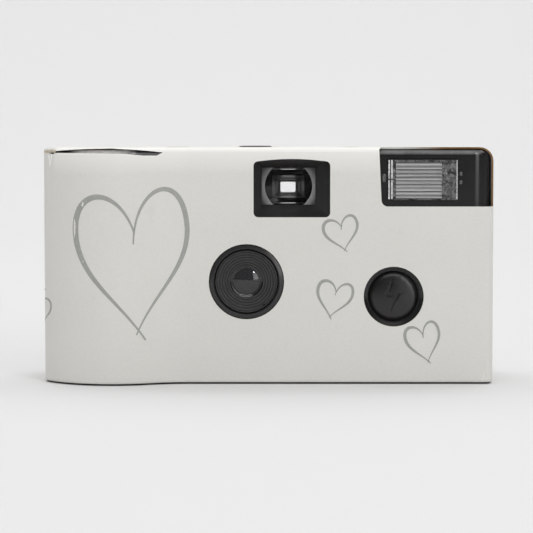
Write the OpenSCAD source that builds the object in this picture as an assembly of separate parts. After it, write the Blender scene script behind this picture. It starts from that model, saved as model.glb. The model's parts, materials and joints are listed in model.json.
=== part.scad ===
// Single-use 35 mm film camera with a built-in flash, in a folded card sleeve.
// Millimetres. X runs to the right as seen from the front, the front faces -Y and +Z is up.
// The origin is the centre of the footprint, on the surface that the camera stands on.

/* [Card sleeve] */
// Width of the folded sleeve
sleeve_w = 118; // [117:0.5:124]
// Height of the folded sleeve
sleeve_h = 62; // [61.5:0.25:66]
// Depth of the sleeve beside the grip
sleeve_d = 30.5; // [30.25:0.25:33]
// Thickness of the card
card_t = 0.45; // [0.3:0.05:0.6]
// Outside radius of the folded edges
fold_r = 1.2; // [0.8:0.1:1.5]
// Length of the slit above the grip
slit_w = 30.8; // [26:0.4:33]
// Play between the card and the covers
card_gap = 0.15; // [0.1:0.05:0.4]

/* [Grip] */
// How far the grip stands proud of the front panel
grip_h = 4.6; // [3.6:0.2:5.4]
// Radius of the grip's round front
grip_r = 22; // [21:0.5:24]
// Radius of the hollow blend from the grip to the front panel
grip_blend_r = 25; // [18:1:30]
// Radius from the grip to the left side
grip_side_r = 5; // [3:0.5:7]

/* [Covers] */
// Wall thickness of the moulded covers
wall = 1.4; // [1.2:0.1:1.6]
// Radius of the upright corners of the covers
cover_corner_r = 5.5; // [4:0.5:7]
// Radius of the top and bottom edges of the covers
cover_edge_r = 1.6; // [0.8:0.2:2.4]
// Radius of the covers' shoulder beside the flash
shoulder_r = 3; // [2:0.2:3.2]
// Depth of the rear cover, from the seam to its back
rear_cover_d = 5.5; // [5:0.25:6.5]
// Gap between pieces that are fixed together
fit = 0.1; // [0.05:0.05:0.2]
// Gap between pieces that move past each other
run = 0.3; // [0.2:0.05:0.4]

/* [Lens] */
// Lens axis, to the right of the middle
lens_x = -5.6; // [-6.5:0.1:-4.5]
// Lens axis, above the base
lens_z = 26.9; // [26:0.1:28]
// Radius of the hole in the card around the lens
lens_hole_r = 9.85; // [9.2:0.05:11]
// Outside radius of the stepped lens bezel
bezel_r = 8.35; // [7.6:0.05:9]
// Number of steps inside the bezel
bezel_steps = 5; // [3:1:7]
// Radius of the taking lens
lens_r = 4.2; // [3.6:0.1:4.6]
// Thickness of the taking lens at its rim
lens_rim_t = 2.1; // [1.8:0.1:2.4]
// Radius of the aperture
aperture_r = 1.6; // [1:0.1:2]

/* [Viewfinder] */
// Middle of the finder, to the right of the middle
finder_x = 5.4; // [5:0.1:6.6]
// Middle of the finder, below the top of the sleeve
finder_drop = 10.2; // [9.9:0.1:10.4]
// Width of the front finder lens
finder_w = 14.1; // [13:0.1:14.8]
// Height of the front finder lens
finder_h = 9.7; // [9:0.1:10]
// Width of the eyepiece
eyepiece_w = 7.2; // [6.6:0.2:9]
// Height of the eyepiece
eyepiece_h = 5; // [4.6:0.2:6]
// How far the eyepiece sits below the front finder lens
eyepiece_dip = 1.1; // [0:0.1:1.3]
// Width of the finder's opening in the card
finder_hole_w = 20; // [19:0.25:21]
// Height of the finder's opening in the card
finder_hole_h = 15.2; // [14:0.1:15.4]

/* [Flash] */
// Middle of the flash window, to the right of the middle
flash_x = 40.3; // [40:0.1:41]
// Middle of the flash window, below the top of the sleeve
flash_drop = 8.4; // [8:0.1:8.8]
// Width of the flash window
flash_w = 18.3; // [17:0.1:19.2]
// Height of the flash window
flash_h = 10.7; // [10:0.1:11]
// Number of ribs across the flash window
flash_ribs = 9; // [5:1:12]
// Radius of the lower left corner of the card's flash opening
flash_hole_r = 1.7; // [0.5:0.1:2.5]
// Flash button, to the right of the middle
flash_button_x = 32.9; // [32:0.1:34]
// Flash button, above the base
flash_button_z = 23; // [22:0.1:25]
// Radius of the flash button
flash_button_r = 6.6; // [6:0.05:6.8]
// Travel of the flash button
flash_travel = 1; // [0.6:0.1:1.2]
// Radius of the hole in the card around the flash button
flash_button_hole_r = 7.85; // [7.5:0.05:8.4]

/* [Top controls] */
// Shutter button, to the right of the middle
shutter_x = -3.3; // [-4:0.1:-3]
// Shutter button, behind the middle
shutter_y = -4; // [-4.5:0.1:-3.5]
// Radius of the shutter button
shutter_r = 4.4; // [4:0.1:4.6]
// Travel of the shutter button
shutter_travel = 1.2; // [0.8:0.1:1.3]
// How far the shutter button stands above the card
shutter_proud = 0.3; // [0.1:0.1:0.8]
// Radius of the counter dial at its teeth
counter_r = 8; // [7.4:0.1:8.2]
// Number of teeth on the counter dial
counter_teeth = 36; // [30:1:40]
// Width of the counter window
counter_window_w = 4.6; // [4:0.2:5]
// Radius of the ready light
ready_r = 1.7; // [1.4:0.1:2]
// Ready light, to the right of the middle
ready_x = 21.9; // [21:0.1:23]

/* [Film] */
// Radius of the 135 film cassette
cassette_r = 12.5; // [12.4:0.05:12.6]
// Height of the cassette's body
cassette_h = 44; // [43.5:0.25:44.5]
// Width of the film
film_w = 35; // [34.8:0.1:35]
// Thickness of the film
film_t = 0.16; // [0.12:0.02:0.2]
// Width of one picture
frame_w = 36; // [35:0.5:36.5]
// Height of one picture
frame_h = 24; // [23.5:0.25:24.5]
// Radius of the curved film plane
film_curve_r = 130; // [100:5:200]
// Outside radius of the unexposed roll
roll_r = 7.6; // [7:0.1:7.8]
// Number of teeth on the film sprocket
sprocket_teeth = 8; // [8:1:8]
// Spacing of the film's perforations
perforation_pitch = 4.75; // [4.74:0.01:4.76]

/* [Film advance] */
// How far the thumb wheel stands out of the back
wheel_proud = 0.9; // [0.6:0.1:1.2]
// Thickness of the thumb wheel
wheel_t = 5.4; // [4.6:0.2:5.6]
// Number of serrations on the thumb wheel
wheel_serrations = 60; // [40:1:72]

/* [Power] */
// Radius of the AA cell
cell_r = 7.1; // [7:0.05:7.2]
// Length of the AA cell with its button
cell_l = 50.5; // [50:0.1:50.6]
// Radius of the flash capacitor
capacitor_r = 6.5; // [6:0.1:6.6]
// Length of the flash capacitor
capacitor_l = 26; // [22:1:28]
// Thickness of the circuit board
board_t = 1.2; // [1:0.1:1.4]

/* [Hidden] */
$fn = 48;

// Outer planes of the sleeve. The thumb wheel's reach past the back keeps the origin in the middle.
half_w = sleeve_w / 2;
front_y = -(sleeve_d + grip_h + wheel_proud) / 2;
flat_y = front_y + grip_h;
back_y = flat_y + sleeve_d;

// Planes of the black covers inside the sleeve, outside and inside their walls.
skin = card_t + card_gap;
cover_x = half_w - skin;
cover_front_y = flat_y + skin;
cover_back_y = back_y - skin;
cover_z0 = skin;
cover_z1 = sleeve_h - skin;
inner_x = cover_x - wall;
inner_front_y = cover_front_y + wall;
inner_back_y = cover_back_y - wall;
inner_z0 = cover_z0 + wall;
inner_z1 = cover_z1 - wall;
seam_y = cover_back_y - rear_cover_d;
finder_z = sleeve_h - finder_drop;
eyepiece_z = finder_z - eyepiece_dip;
flash_z = sleeve_h - flash_drop;
flash_rib_w = flash_w - 6.4;

// Film cassette and the thumb wheel above it.
cassette_y = inner_back_y - run - cassette_r;
wheel_r = back_y + wheel_proud - cassette_y;
wheel_side_gap = 0.7;
cassette_x = wheel_r + wheel_side_gap - inner_x;
film_z0 = lens_z - film_w / 2;
film_z1 = lens_z + film_w / 2;
cassette_z0 = lens_z - cassette_h / 2;
cassette_z1 = lens_z + cassette_h / 2;
wheel_z0 = cassette_z1 + 1.7;
wheel_z1 = wheel_z0 + wheel_t;

// Slit above the grip, between a nearly straight lower edge and an arched upper edge.
slit_rise = 1;
slit_r = (pow(slit_w / 2, 2) + pow(slit_rise, 2)) / (2 * slit_rise);
slit_angle = asin(slit_w / 2 / slit_r);
slit_outline = concat(
    [[2.2 - slit_w / 2, -1.9], [slit_w / 2 - 1.6, -2.15]],
    arc(0, -0.35 - slit_r, slit_r, 90 - slit_angle, 90 + slit_angle, 14)
);

// Grip, centred on the cassette.
grip_x = cassette_x;
grip_y = front_y + grip_r;
blend_y = flat_y - grip_blend_r;
blend_x = grip_x + sqrt(pow(grip_r + grip_blend_r, 2) - pow(grip_y - blend_y, 2));
blend_angle = 360 + atan2(blend_y - grip_y, blend_x - grip_x);
side_x = grip_side_r - half_w;
side_y = grip_y - sqrt(pow(grip_r - grip_side_r, 2) - pow(side_x - grip_x, 2));
side_angle = 360 + atan2(side_y - grip_y, side_x - grip_x);
sleeve_corner_r = fold_r + 0.8;

// Curved film plane: the film bows away from the lens in the middle of the picture.
rail_half_w = frame_w / 2 + 3.5;
rail_t = 1.2;
film_y = inner_back_y - 0.9;
function film_at(x) = film_y + film_curve_r * (cos(asin((x - lens_x) / film_curve_r)) - 1);
film_edge_y = film_at(lens_x + rail_half_w);

// Unexposed roll, to the right of the picture.
chamber_wall = 1.1;
film_slope = tan(asin(rail_half_w / film_curve_r));
film_lean = asin(rail_half_w / film_curve_r);
roll_chamber_r = roll_r + 0.7;
roll_x = lens_x + rail_half_w + fit + roll_chamber_r + chamber_wall;
roll_film_r = roll_r + film_t + 0.05;
roll_y = film_edge_y - film_slope * (roll_x - lens_x - rail_half_w) - roll_film_r / cos(film_lean);
coil_line_y = film_edge_y - film_slope * (lens_x - rail_half_w - cassette_x);
coil_film_r = (coil_line_y - cassette_y) * cos(film_lean);
coil_r = coil_film_r - film_t - fit;

// Sprocket beside the cassette, on the upper row of perforations.
sprocket_r = sprocket_teeth * perforation_pitch / (2 * PI);
sprocket_tip_r = sprocket_r + 0.85;
sprocket_t = 1.6;
sprocket_z = film_z1 - 3.4;
sprocket_x = cassette_x + cassette_r + sprocket_tip_r + run + fit;
sprocket_y = film_at(sprocket_x) - sprocket_r;

// Mechanism deck above the film.
deck_t = 1.2;
deck_z = cassette_z1 - 3.3;
bridge_z = film_z1 + 1.2;
deck_top = deck_z + deck_t;
shutter_wall_y = cover_front_y + 6.6;
shutter_wall_t = 1.2;
blade_t = 0.25;
blade_y = shutter_wall_y - run - blade_t;
plate_t = 0.3;
plate_y = blade_y - run - plate_t;
blade_pivot_x = lens_x - 7.4;
blade_pivot_z = lens_z + 9.6;
tab_z = deck_top + 1.3;
striker_x = blade_pivot_x + 2;
striker_y = shutter_wall_y + 10.2;
striker_z = deck_top + run;
striker_t = 2.2;
striker_toe = 9;

// Release rocker under the shutter button.
rocker_x = shutter_x - 13.7;
rocker_z = inner_z1 - 6.5;
stem_x = shutter_x - 1.7;
stem_r = 1.5;
stem_z0 = inner_z1 - 3.5;

// Counter dial under the top.
dial_t = 1.4;
dial_z = inner_z1 - 2.8;
dial_x = sprocket_x + 2.6;
dial_y = inner_front_y + 0.4 + counter_r;
finger_r = norm([dial_x - sprocket_x, dial_y - sprocket_y]) - counter_r - run;
counter_x = dial_x - counter_r * 0.7;

// Battery bay at the right end, behind the flash.
cell_x = inner_x - 0.4 - cell_r;
cell_y = inner_back_y - 0.4 - cell_r;
bay_z0 = inner_z0 + 0.2;
bay_t = 1;
contact_t = 0.3;
spring_l = 3.2;
cell_z0 = bay_z0 + bay_t + contact_t + spring_l;
cell_z1 = cell_z0 + cell_l;

// Circuit board behind the flash button.
button_face_y = cover_front_y + 0.2;
flange_t = 0.8;
board_y = inner_front_y + 3;
board_x0 = lens_x + 18.5;
board_x1 = inner_x - 0.5;
board_z0 = inner_z0 + 1;
board_z1 = deck_z - 1;

// Flash capacitor under the lens, ready light, finder lenses and the lens seat.
capacitor_x = lens_x;
capacitor_y = inner_front_y + 0.5 + capacitor_r;
capacitor_z = inner_z0 + 0.4 + capacitor_r;
ready_y = inner_front_y + 4.9;
ready_z = max(deck_top, bridge_z + deck_t) + 0.4;
finder_lens_y = cover_front_y + 1.9;
finder_lens_t = 2.2;
lens_y = plate_y - fit - lens_rim_t;
tube_r = 1.6;
tube_y = inner_front_y + 5;
cam_z = rocker_z - 2.5;
plate_pins = [[lens_x + 9, lens_z + 6], [lens_x + 9, lens_z - 7], [lens_x - 10, lens_z - 6.5]];
board_holes = [
    [board_x0 + 3.2, board_z1 - 3.4], [board_x1 - 3, board_z1 - 3.4], [board_x0 + 3.2, board_z0 + 3.4]
];

// Points of an arc, from angle a0 to a1 in n steps.
function arc(x, y, r, a0, a1, n) =
    [for (i = [0:n]) let (a = a0 + (a1 - a0) * i / n) [x + r * cos(a), y + r * sin(a)]];

// Corner points of a rectangle with round corners, about its middle.
function round_rect(w, h, r, n = 4) = concat(
    arc(w / 2 - r, r - h / 2, r, -90, 0, n),
    arc(w / 2 - r, h / 2 - r, r, 0, 90, n),
    arc(r - w / 2, h / 2 - r, r, 90, 180, n),
    arc(r - w / 2, r - h / 2, r, 180, 270, n)
);

// Plan outline of the camera, inset by d from the outside of the sleeve, with corner radius r.
function plan(d, r) = concat(
    arc(half_w - r, flat_y + r, r - d, -90, 0, 5),
    arc(half_w - r, back_y - r, r - d, 0, 90, 5),
    arc(r - half_w, back_y - r, r - d, 90, 180, 5),
    arc(side_x, side_y, grip_side_r - d, 180, side_angle, 4),
    [for (p = [1:12]) let (a = side_angle + (blend_angle - side_angle) * p / 12)
        [grip_x + (grip_r - d) * cos(a), grip_y + (grip_r - d) * sin(a)]],
    [for (p = [1:6]) let (a = blend_angle - 180 + (270 - blend_angle) * p / 6)
        [blend_x + (grip_blend_r + d) * cos(a), blend_y + (grip_blend_r + d) * sin(a)]]
);

// Solid through rings of points, each ring anticlockwise seen from the end of the list.
module loft(rings) {
    n = len(rings[0]);
    top = (len(rings) - 1) * n;
    points = [for (ring = rings) each ring];
    sides = [for (k = [0:len(rings) - 2]) for (i = [0:n - 1])
        let (a = k * n + i, b = k * n + (i + 1) % n)
        each [[a + n, b + n, b], [a + n, b, a]]];
    polyhedron(points, concat([[for (i = [0:n - 1]) i]], sides, [[for (i = [n - 1:-1:0]) top + i]]));
}

// Plan outline raised from z0 to z1, with its top and bottom edges rounded to radius e and a round
// shoulder at the flash end of the top.
module rounded_body(d, r, z0, z1, e, n = 3) {
    mid_r = shoulder_r + skin - d;
    mid_z = cover_z1 - shoulder_r;
    low = [for (k = [0:n]) let (a = 90 * k / n) [d + e * (1 - sin(a)), z0 + e * (1 - cos(a))]];
    mid = z1 - e < mid_z + 0.2 ? [] : [for (t = [0, 0.4, 0.75]) [d, mid_z + (z1 - e - mid_z) * t]];
    high = [for (k = [n:-1:0]) let (a = 90 * k / n) [d + e * (1 - sin(a)), z1 - e * (1 - cos(a))]];
    loft([for (level = concat(low, mid, high))
        let (rise = max(0, level[1] - mid_z))
        let (end_x = cover_x - shoulder_r + sqrt(max(0, mid_r * mid_r - rise * rise)))
        [for (p = plan(level[0], r)) [min(p[0], end_x), p[1], level[1]]]]);
}

// Shape drawn in X and Z, from y to y + t.
module front_plate(y, t) {
    translate([0, y + t, 0]) rotate([90, 0, 0]) linear_extrude(t) children();
}

// Child modelled along +Z, laid along +Y from the point given.
module along_y(x, y, z) {
    translate([x, y, z]) rotate([-90, 0, 0]) children();
}

// Child modelled along +Z, laid along +X from the point given.
module along_x(x, y, z) {
    translate([x, y, z]) rotate([0, 90, 0]) children();
}

// Box from its lowest corner to its highest corner.
module block(low, high) {
    translate(low) cube(high - low);
}

// Four-sided funnel along Y, between a rectangle at y0 and another at y1, shifted by dx and dz.
module funnel(x, z, y0, w0, h0, y1, w1, h1, dx = 0, dz = 0) {
    function ring(x, y, z, w, h) = [
        [x - w / 2, y, z + h / 2], [x + w / 2, y, z + h / 2],
        [x + w / 2, y, z - h / 2], [x - w / 2, y, z - h / 2]
    ];
    loft([ring(x, y0, z, w0, h0), ring(x + dx, y1, z + dz, w1, h1)]);
}

// Coil of round wire along +Z, with its radius going from r0 to r1.
module coil(r0, r1, wire_r, turns, height) {
    sides = 6;
    steps = 10 * turns;
    loft([for (k = [0:steps]) let (a = 360 * k / 10, r = r0 + (r1 - r0) * k / steps)
        [for (i = [0:sides - 1]) let (b = 360 * i / sides, q = r + wire_r * cos(b))
            [q * cos(a), q * sin(a), wire_r * (1 - sin(b)) + (height - 2 * wire_r) * k / steps]]]);
}

// Upright tube from z0 to z1.
module ring_wall(x, y, z0, z1, r_in, r_out) {
    translate([x, y, z0]) difference() {
        cylinder(r = r_out, h = z1 - z0);
        translate([0, 0, -1]) cylinder(r = r_in, h = z1 - z0 + 2);
    }
}

// Opening with round corners and a gently arched top, about its middle, as X and Z points.
function arched(w, h, r, rise) = concat(
    arc(w / 2 - r, r - h / 2, r, -90, 0, 4),
    arc(w / 2 - r, h / 2 - rise - r, r, 0, 90, 4),
    [for (t = [0.6:-0.3:-0.6]) [(w / 2 - r) * t, h / 2 - rise * t * t]],
    arc(r - w / 2, h / 2 - rise - r, r, 90, 180, 4),
    arc(r - w / 2, r - h / 2, r, 180, 270, 4)
);

// Round hole through a front wall, from the front plane of the grip to y1.
module front_hole(x, z, r, y1) {
    along_y(x, front_y - 1, z) cylinder(r = r, h = y1 - front_y + 1);
}

// The folded card sleeve with its openings and the slit above the grip.
module card_sleeve() {
    slot_w = 2 * sqrt(pow(wheel_r, 2) - pow(cover_back_y - cassette_y, 2)) + 9;
    flash_low = flash_z - flash_h / 2 - 1.7;
    flash_left = flash_x - flash_w / 2 - 2.2;
    difference() {
        rounded_body(0, sleeve_corner_r, 0, sleeve_h, fold_r);
        rounded_body(card_t, sleeve_corner_r, card_t, sleeve_h - card_t, fold_r - card_t);
        front_hole(lens_x, lens_z, lens_hole_r, flat_y + 1.2);
        front_hole(flash_button_x, flash_button_z, flash_button_hole_r, flat_y + 1.2);
        front_plate(flat_y - 1, 2.2) translate([finder_x + 0.85, finder_z - 0.45])
            polygon(arched(finder_hole_w, finder_hole_h, 1.2, 0.6));
        // The flash opening runs over the fold onto the top and round the corner onto the side.
        front_plate(flat_y - 1, 3.6) polygon(concat(
            arc(flash_left + 0.67 + flash_hole_r, flash_low + flash_hole_r, flash_hole_r, 180, 270, 6),
            [[half_w + 1, flash_low], [half_w + 1, sleeve_h + 1], [flash_left + 0.85, sleeve_h + 1]],
            arc(flash_left + 0.85, sleeve_h - 0.8, 0.8, 90, 180, 4)
        ));
        // Slit between the top panel and the front panel, over the grip.
        intersection() {
            translate([0, 0, sleeve_h - 2.4]) linear_extrude(3.4) difference() {
                translate([-half_w, front_y - 1]) square([slit_w + 2, grip_r]);
                polygon(plan(2.6, cover_corner_r));
            }
            front_plate(front_y - 2, grip_r + 2) translate([0.9 - half_w + slit_w / 2, sleeve_h])
                polygon(slit_outline);
        }
        translate([shutter_x, shutter_y, sleeve_h - 2]) cylinder(r = shutter_r + 0.7, h = 3);
        translate([ready_x, ready_y, sleeve_h - 2]) cylinder(r = ready_r + 0.5, h = 3);
        translate([counter_x, dial_y, sleeve_h - 2]) linear_extrude(3)
            polygon(round_rect(counter_window_w + 1, counter_window_w, 0.8));
        front_plate(back_y - 2, 3) translate([finder_x, eyepiece_z])
            polygon(round_rect(eyepiece_w + 5, eyepiece_h + 4.6, 1.6));
        front_plate(back_y - 2, 3) translate([cassette_x, (wheel_z0 + wheel_z1) / 2])
            polygon(round_rect(slot_w, wheel_t + 2.6, 1.4));
    }
}

// Both moulded covers as one hollow box.
module cover_box() {
    difference() {
        rounded_body(skin, cover_corner_r, cover_z0, cover_z1, cover_edge_r);
        translate([0, 0, inner_z0]) linear_extrude(inner_z1 - inner_z0)
            polygon(plan(skin + wall, cover_corner_r));
    }
}

// Round boss that hangs from the inside of the top down to z.
module hang(x, y, z, r) {
    translate([x, y, z]) cylinder(r = r, h = inner_z1 + 0.2 - z);
}

// Front moulded cover, with the bearings under its top and the bosses for the board.
module front_cover() {
    rib_x = capacitor_l / 2 - 4;
    difference() {
        union() {
            difference() {
                cover_box();
                block([-half_w - 1, seam_y, -1], [half_w + 1, back_y + 1, sleeve_h + 1]);
            }
            // Collar around the front finder lens.
            block(
                [finder_x - finder_w / 2 - 1.4, inner_front_y - fit, finder_z - finder_h / 2 - 1],
                [finder_x + finder_w / 2 + 1.4, finder_lens_y + finder_lens_t, finder_z + finder_h / 2 + 1]
            );
            // Bearing pin for the thumb wheel.
            hang(cassette_x, cassette_y, wheel_z1 + run, 5);
            translate([cassette_x, cassette_y, wheel_z1 - 2]) cylinder(r = 2.4, h = 3);
            // Headed pin that carries the counter dial.
            hang(dial_x, dial_y, dial_z + dial_t + 0.15, 2.5);
            translate([dial_x, dial_y, dial_z - 1]) cylinder(r = 1.5, h = dial_t + 2);
            translate([dial_x, dial_y, dial_z - 1]) cylinder(r = 2.3, h = 0.85);
            // Upper bearing of the sprocket's shaft.
            hang(sprocket_x, sprocket_y, dial_z + dial_t + 0.25, 2.4);
            // Bosses for the board's screws.
            for (p = board_holes)
                along_y(p[0], inner_front_y - fit, p[1]) cylinder(r = 2.2, h = board_y - inner_front_y);
            // Cradle ribs for the capacitor.
            for (x = [capacitor_x - rib_x, capacitor_x + rib_x])
                block(
                    [x - 0.7, inner_front_y - fit, inner_z0 - fit],
                    [x + 0.7, capacitor_y + 4, capacitor_z]
                );
            // Ledges that carry the chassis.
            block([lens_x + 14, seam_y - 6, inner_z0 - fit], [lens_x + 18, seam_y - 2, inner_z0 + 0.2]);
            block(
                [cassette_x - 3, cassette_y - cassette_r - 1.4, inner_z0 - fit],
                [cassette_x + 3, cassette_y - cassette_r + 0.4, inner_z0 + 0.2]
            );
        }
        front_hole(lens_x, lens_z, bezel_r + 0.15, inner_front_y + 0.5);
        // Funnel and throat of the finder.
        funnel(
            finder_x + 0.85, finder_z - 0.6, cover_front_y - 0.5, finder_w + 7.4, finder_h + 6.5,
            finder_lens_y + 0.2, finder_w - 0.4, finder_h - 0.4, -0.85, 0.6
        );
        block(
            [finder_x - finder_w / 2 - fit, finder_lens_y - fit, finder_z - finder_h / 2 - fit],
            [finder_x + finder_w / 2 + fit, finder_lens_y + finder_lens_t + 1, finder_z + finder_h / 2 + fit]
        );
        front_plate(cover_front_y - 1, wall + 2) translate([flash_x, flash_z])
            polygon(round_rect(flash_w + 2 * fit, flash_h + 2 * fit, 0.6));
        front_hole(flash_button_x, flash_button_z, flash_button_r + 0.3, inner_front_y + 0.5);
        along_y(flash_button_x, cover_front_y - 0.01, flash_button_z)
            cylinder(r1 = flash_button_r + 1.1, r2 = flash_button_r + 0.2, h = 0.7);
        translate([shutter_x, shutter_y, inner_z1 - 1]) cylinder(r = shutter_r + 0.25, h = wall + 2);
        translate([ready_x, ready_y, inner_z1 - 1]) cylinder(r = ready_r + fit, h = wall + 2);
        translate([counter_x, dial_y, inner_z1 - 1]) linear_extrude(wall + 2)
            polygon(round_rect(counter_window_w, counter_window_w - 1, 0.6));
        translate([sprocket_x, sprocket_y, dial_z]) cylinder(r = 1.08, h = inner_z1 - dial_z);
        along_x(capacitor_x - capacitor_l, capacitor_y, capacitor_z)
            cylinder(r = capacitor_r + fit, h = 2 * capacitor_l);
        for (p = board_holes)
            along_y(p[0], inner_front_y + 0.3, p[1]) cylinder(r = 0.95, h = 4);
    }
}

// Rear moulded cover, with the eyepiece window, the wheel's slot and the curved film ribs.
module rear_cover() {
    slot_w = 2 * sqrt(pow(wheel_r, 2) - pow(inner_back_y - cassette_y, 2)) + 2;
    rib_w = rail_half_w - 1;
    rib = [for (k = [0:10]) let (x = lens_x + rib_w * (k / 5 - 1)) [x, film_at(x) + fit]];
    difference() {
        union() {
            difference() {
                cover_box();
                block([-half_w - 1, front_y - 1, -1], [half_w + 1, seam_y + fit, sleeve_h + 1]);
            }
            for (z = [film_z0 + 0.6, film_z1 - 2.2])
                translate([0, 0, z]) linear_extrude(1.6) polygon(concat(
                    [[lens_x + rib_w, inner_back_y + fit], [lens_x - rib_w, inner_back_y + fit]],
                    rib
                ));
        }
        front_plate(inner_back_y - 1, wall + 2) translate([finder_x, eyepiece_z])
            polygon(round_rect(eyepiece_w + 2 * fit, eyepiece_h + 2 * fit, 0.8));
        front_plate(inner_back_y - 1, wall + 2) translate([cassette_x, (wheel_z0 + wheel_z1) / 2])
            polygon(round_rect(slot_w, wheel_t + 1, 0.8));
    }
}

// Stepped bezel around the lens, with a flange behind the cover.
module lens_bezel() {
    face_y = cover_front_y + fit;
    flange = inner_front_y + fit - face_y;
    seat = lens_y - fit - face_y;
    rear = plate_y - fit - face_y;
    step = (bezel_r - 0.45 - lens_r - 0.2) / bezel_steps;
    drop = (seat - 0.9) / bezel_steps;
    along_y(lens_x, face_y, lens_z) rotate_extrude($fn = 72) polygon(concat(
        [[bezel_r - 0.3, 0], [bezel_r, 0.3], [bezel_r, flange], [bezel_r + 0.8, flange]],
        [[bezel_r + 0.8, flange + 1], [lens_r + 2, flange + 1], [lens_r + 2, rear], [lens_r + fit, rear]],
        [[lens_r + fit, seat], [lens_r - 0.6, seat], [lens_r - 0.6, seat - 0.25]],
        [[lens_r + 0.2, seat - 0.6]],
        [for (k = [bezel_steps:-1:1]) each [
            [bezel_r - 0.45 - step * k, drop * k], [bezel_r - 0.45 - step * (k - 1), drop * k]
        ]],
        [[bezel_r - 0.45, 0]]
    ));
}

// Meniscus lens with a thick rim that stands on the aperture plate.
module taking_lens() {
    dome = lens_r - 0.8;
    along_y(lens_x, lens_y, lens_z) rotate_extrude($fn = 48) polygon(concat(
        [for (k = [0:6]) let (r = dome * k / 6) [r, -0.7 * (1 - pow(k / 6, 2))]],
        [[lens_r, 0], [lens_r, lens_rim_t], [dome, lens_rim_t]],
        [for (k = [6:-1:0]) let (r = dome * k / 6) [r, 0.75 + 0.5 * pow(k / 6, 2)]]
    ));
}

// Plate with the aperture, held on three pins of the chassis.
module aperture_plate() {
    front_plate(plate_y, plate_t) difference() {
        translate([lens_x, lens_z - 0.7]) polygon(round_rect(23, 16.2, 1.5));
        translate([lens_x, lens_z]) circle(r = aperture_r);
        for (p = plate_pins)
            translate(p) circle(r = 0.8 + fit);
    }
}

// Swinging shutter blade with the tab that the striker hits.
module shutter_blade() {
    front_plate(blade_y, blade_t) difference() {
        union() {
            translate([lens_x, lens_z]) circle(r = aperture_r + 1);
            translate([blade_pivot_x, blade_pivot_z]) circle(r = 2.2);
            polygon([
                [blade_pivot_x - 1.6, blade_pivot_z - 1], [blade_pivot_x + 1.6, blade_pivot_z + 0.6],
                [lens_x + 1.7, lens_z + 1.4], [lens_x - 1.7, lens_z - 1.2]
            ]);
            polygon([
                [blade_pivot_x - 1.2, blade_pivot_z], [blade_pivot_x + 1.2, blade_pivot_z],
                [blade_pivot_x + 0.6, tab_z + 1.6], [blade_pivot_x - 0.6, tab_z + 1.6]
            ]);
        }
        translate([blade_pivot_x, blade_pivot_z]) circle(r = 1.28);
    }
    block([blade_pivot_x - 0.5, blade_y, tab_z], [blade_pivot_x + 0.5, blade_y + 2.4, tab_z + 1.6]);
}

// Sprung striker that kicks the shutter blade's tab.
module striker_lever() {
    toe_x = blade_pivot_x - 1.5 - striker_x;
    toe_y = -striker_toe;
    translate([striker_x, striker_y, striker_z]) difference() {
        union() {
            cylinder(r = 2.3, h = striker_t);
            linear_extrude(striker_t)
                polygon([[-1.8, -0.6], [1.2, -0.6], [toe_x + 0.5, toe_y], [toe_x - 0.6, toe_y]]);
            linear_extrude(striker_t)
                polygon([[-0.4, 1.8], [-0.4, -0.6], [-4.6, 2.9], [-4.2, 3.6]]);
        }
        translate([0, 0, -1]) cylinder(r = 1.28, h = striker_t + 2);
    }
}

// Torsion spring around the striker's pin.
module striker_spring() {
    translate([striker_x, striker_y, striker_z + striker_t + 0.15]) coil(1.75, 1.75, 0.25, 3, 2.1);
}

// Rocker that the shutter button tips to free the sprocket's cam.
module release_lever() {
    y0 = shutter_y - 1;
    y1 = shutter_y + 2;
    difference() {
        union() {
            along_y(rocker_x, y0, rocker_z) cylinder(r = 1.7, h = y1 - y0);
            front_plate(y0, y1 - y0) polygon([
                [rocker_x, rocker_z - 1.2], [stem_x + 1.4, stem_z0 - 1.8], [stem_x + 1.4, stem_z0 - 0.15],
                [stem_x - 1.6, stem_z0 - 0.15], [stem_x - 3.4, stem_z0 - 1], [rocker_x, rocker_z + 1.2]
            ]);
            block([sprocket_x - 1.5, y0, cam_z + 1.6], [rocker_x, y1, cam_z + 2.8]);
            block([sprocket_x - 1.5, y0, cam_z + 1.6], [sprocket_x + 1.5, sprocket_y - 2.2, cam_z + 2.8]);
        }
        along_y(rocker_x, y0 - 1, rocker_z) cylinder(r = 0.98, h = y1 - y0 + 2);
    }
}

// Shutter button with a dished cap, a flange under the top and a stem onto the rocker.
module shutter_button() {
    top = sleeve_h + shutter_proud;
    flange = inner_z1 - fit;
    translate([shutter_x, shutter_y, 0]) rotate_extrude() polygon(concat(
        [[0, flange - 0.6], [shutter_r + 0.7, flange - 0.6], [shutter_r + 0.7, flange], [shutter_r, flange]],
        [[shutter_r, top - 0.5], [shutter_r - 0.15, top - 0.15], [shutter_r - 0.5, top]],
        [for (k = [5:-1:0]) [(shutter_r - 0.9) * k / 5, top - 0.35 + 0.35 * pow(k / 5, 2)]]
    ));
    translate([stem_x, shutter_y, stem_z0]) cylinder(r = stem_r, h = flange - 0.3 - stem_z0);
}

// Points along the front of the film over the rails, moved back by d, as X and Y.
function film_front(d) =
    [for (k = [0:12]) let (x = lens_x + rail_half_w * (k / 6 - 1)) [x, film_at(x) - film_t + d]];

// Plan of the curved plate whose back carries the film.
function rail_outline() = let (back = film_front(-0.05))
    concat(film_front(-0.05 - rail_t), [for (k = [12:-1:0]) back[k]]);

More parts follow.
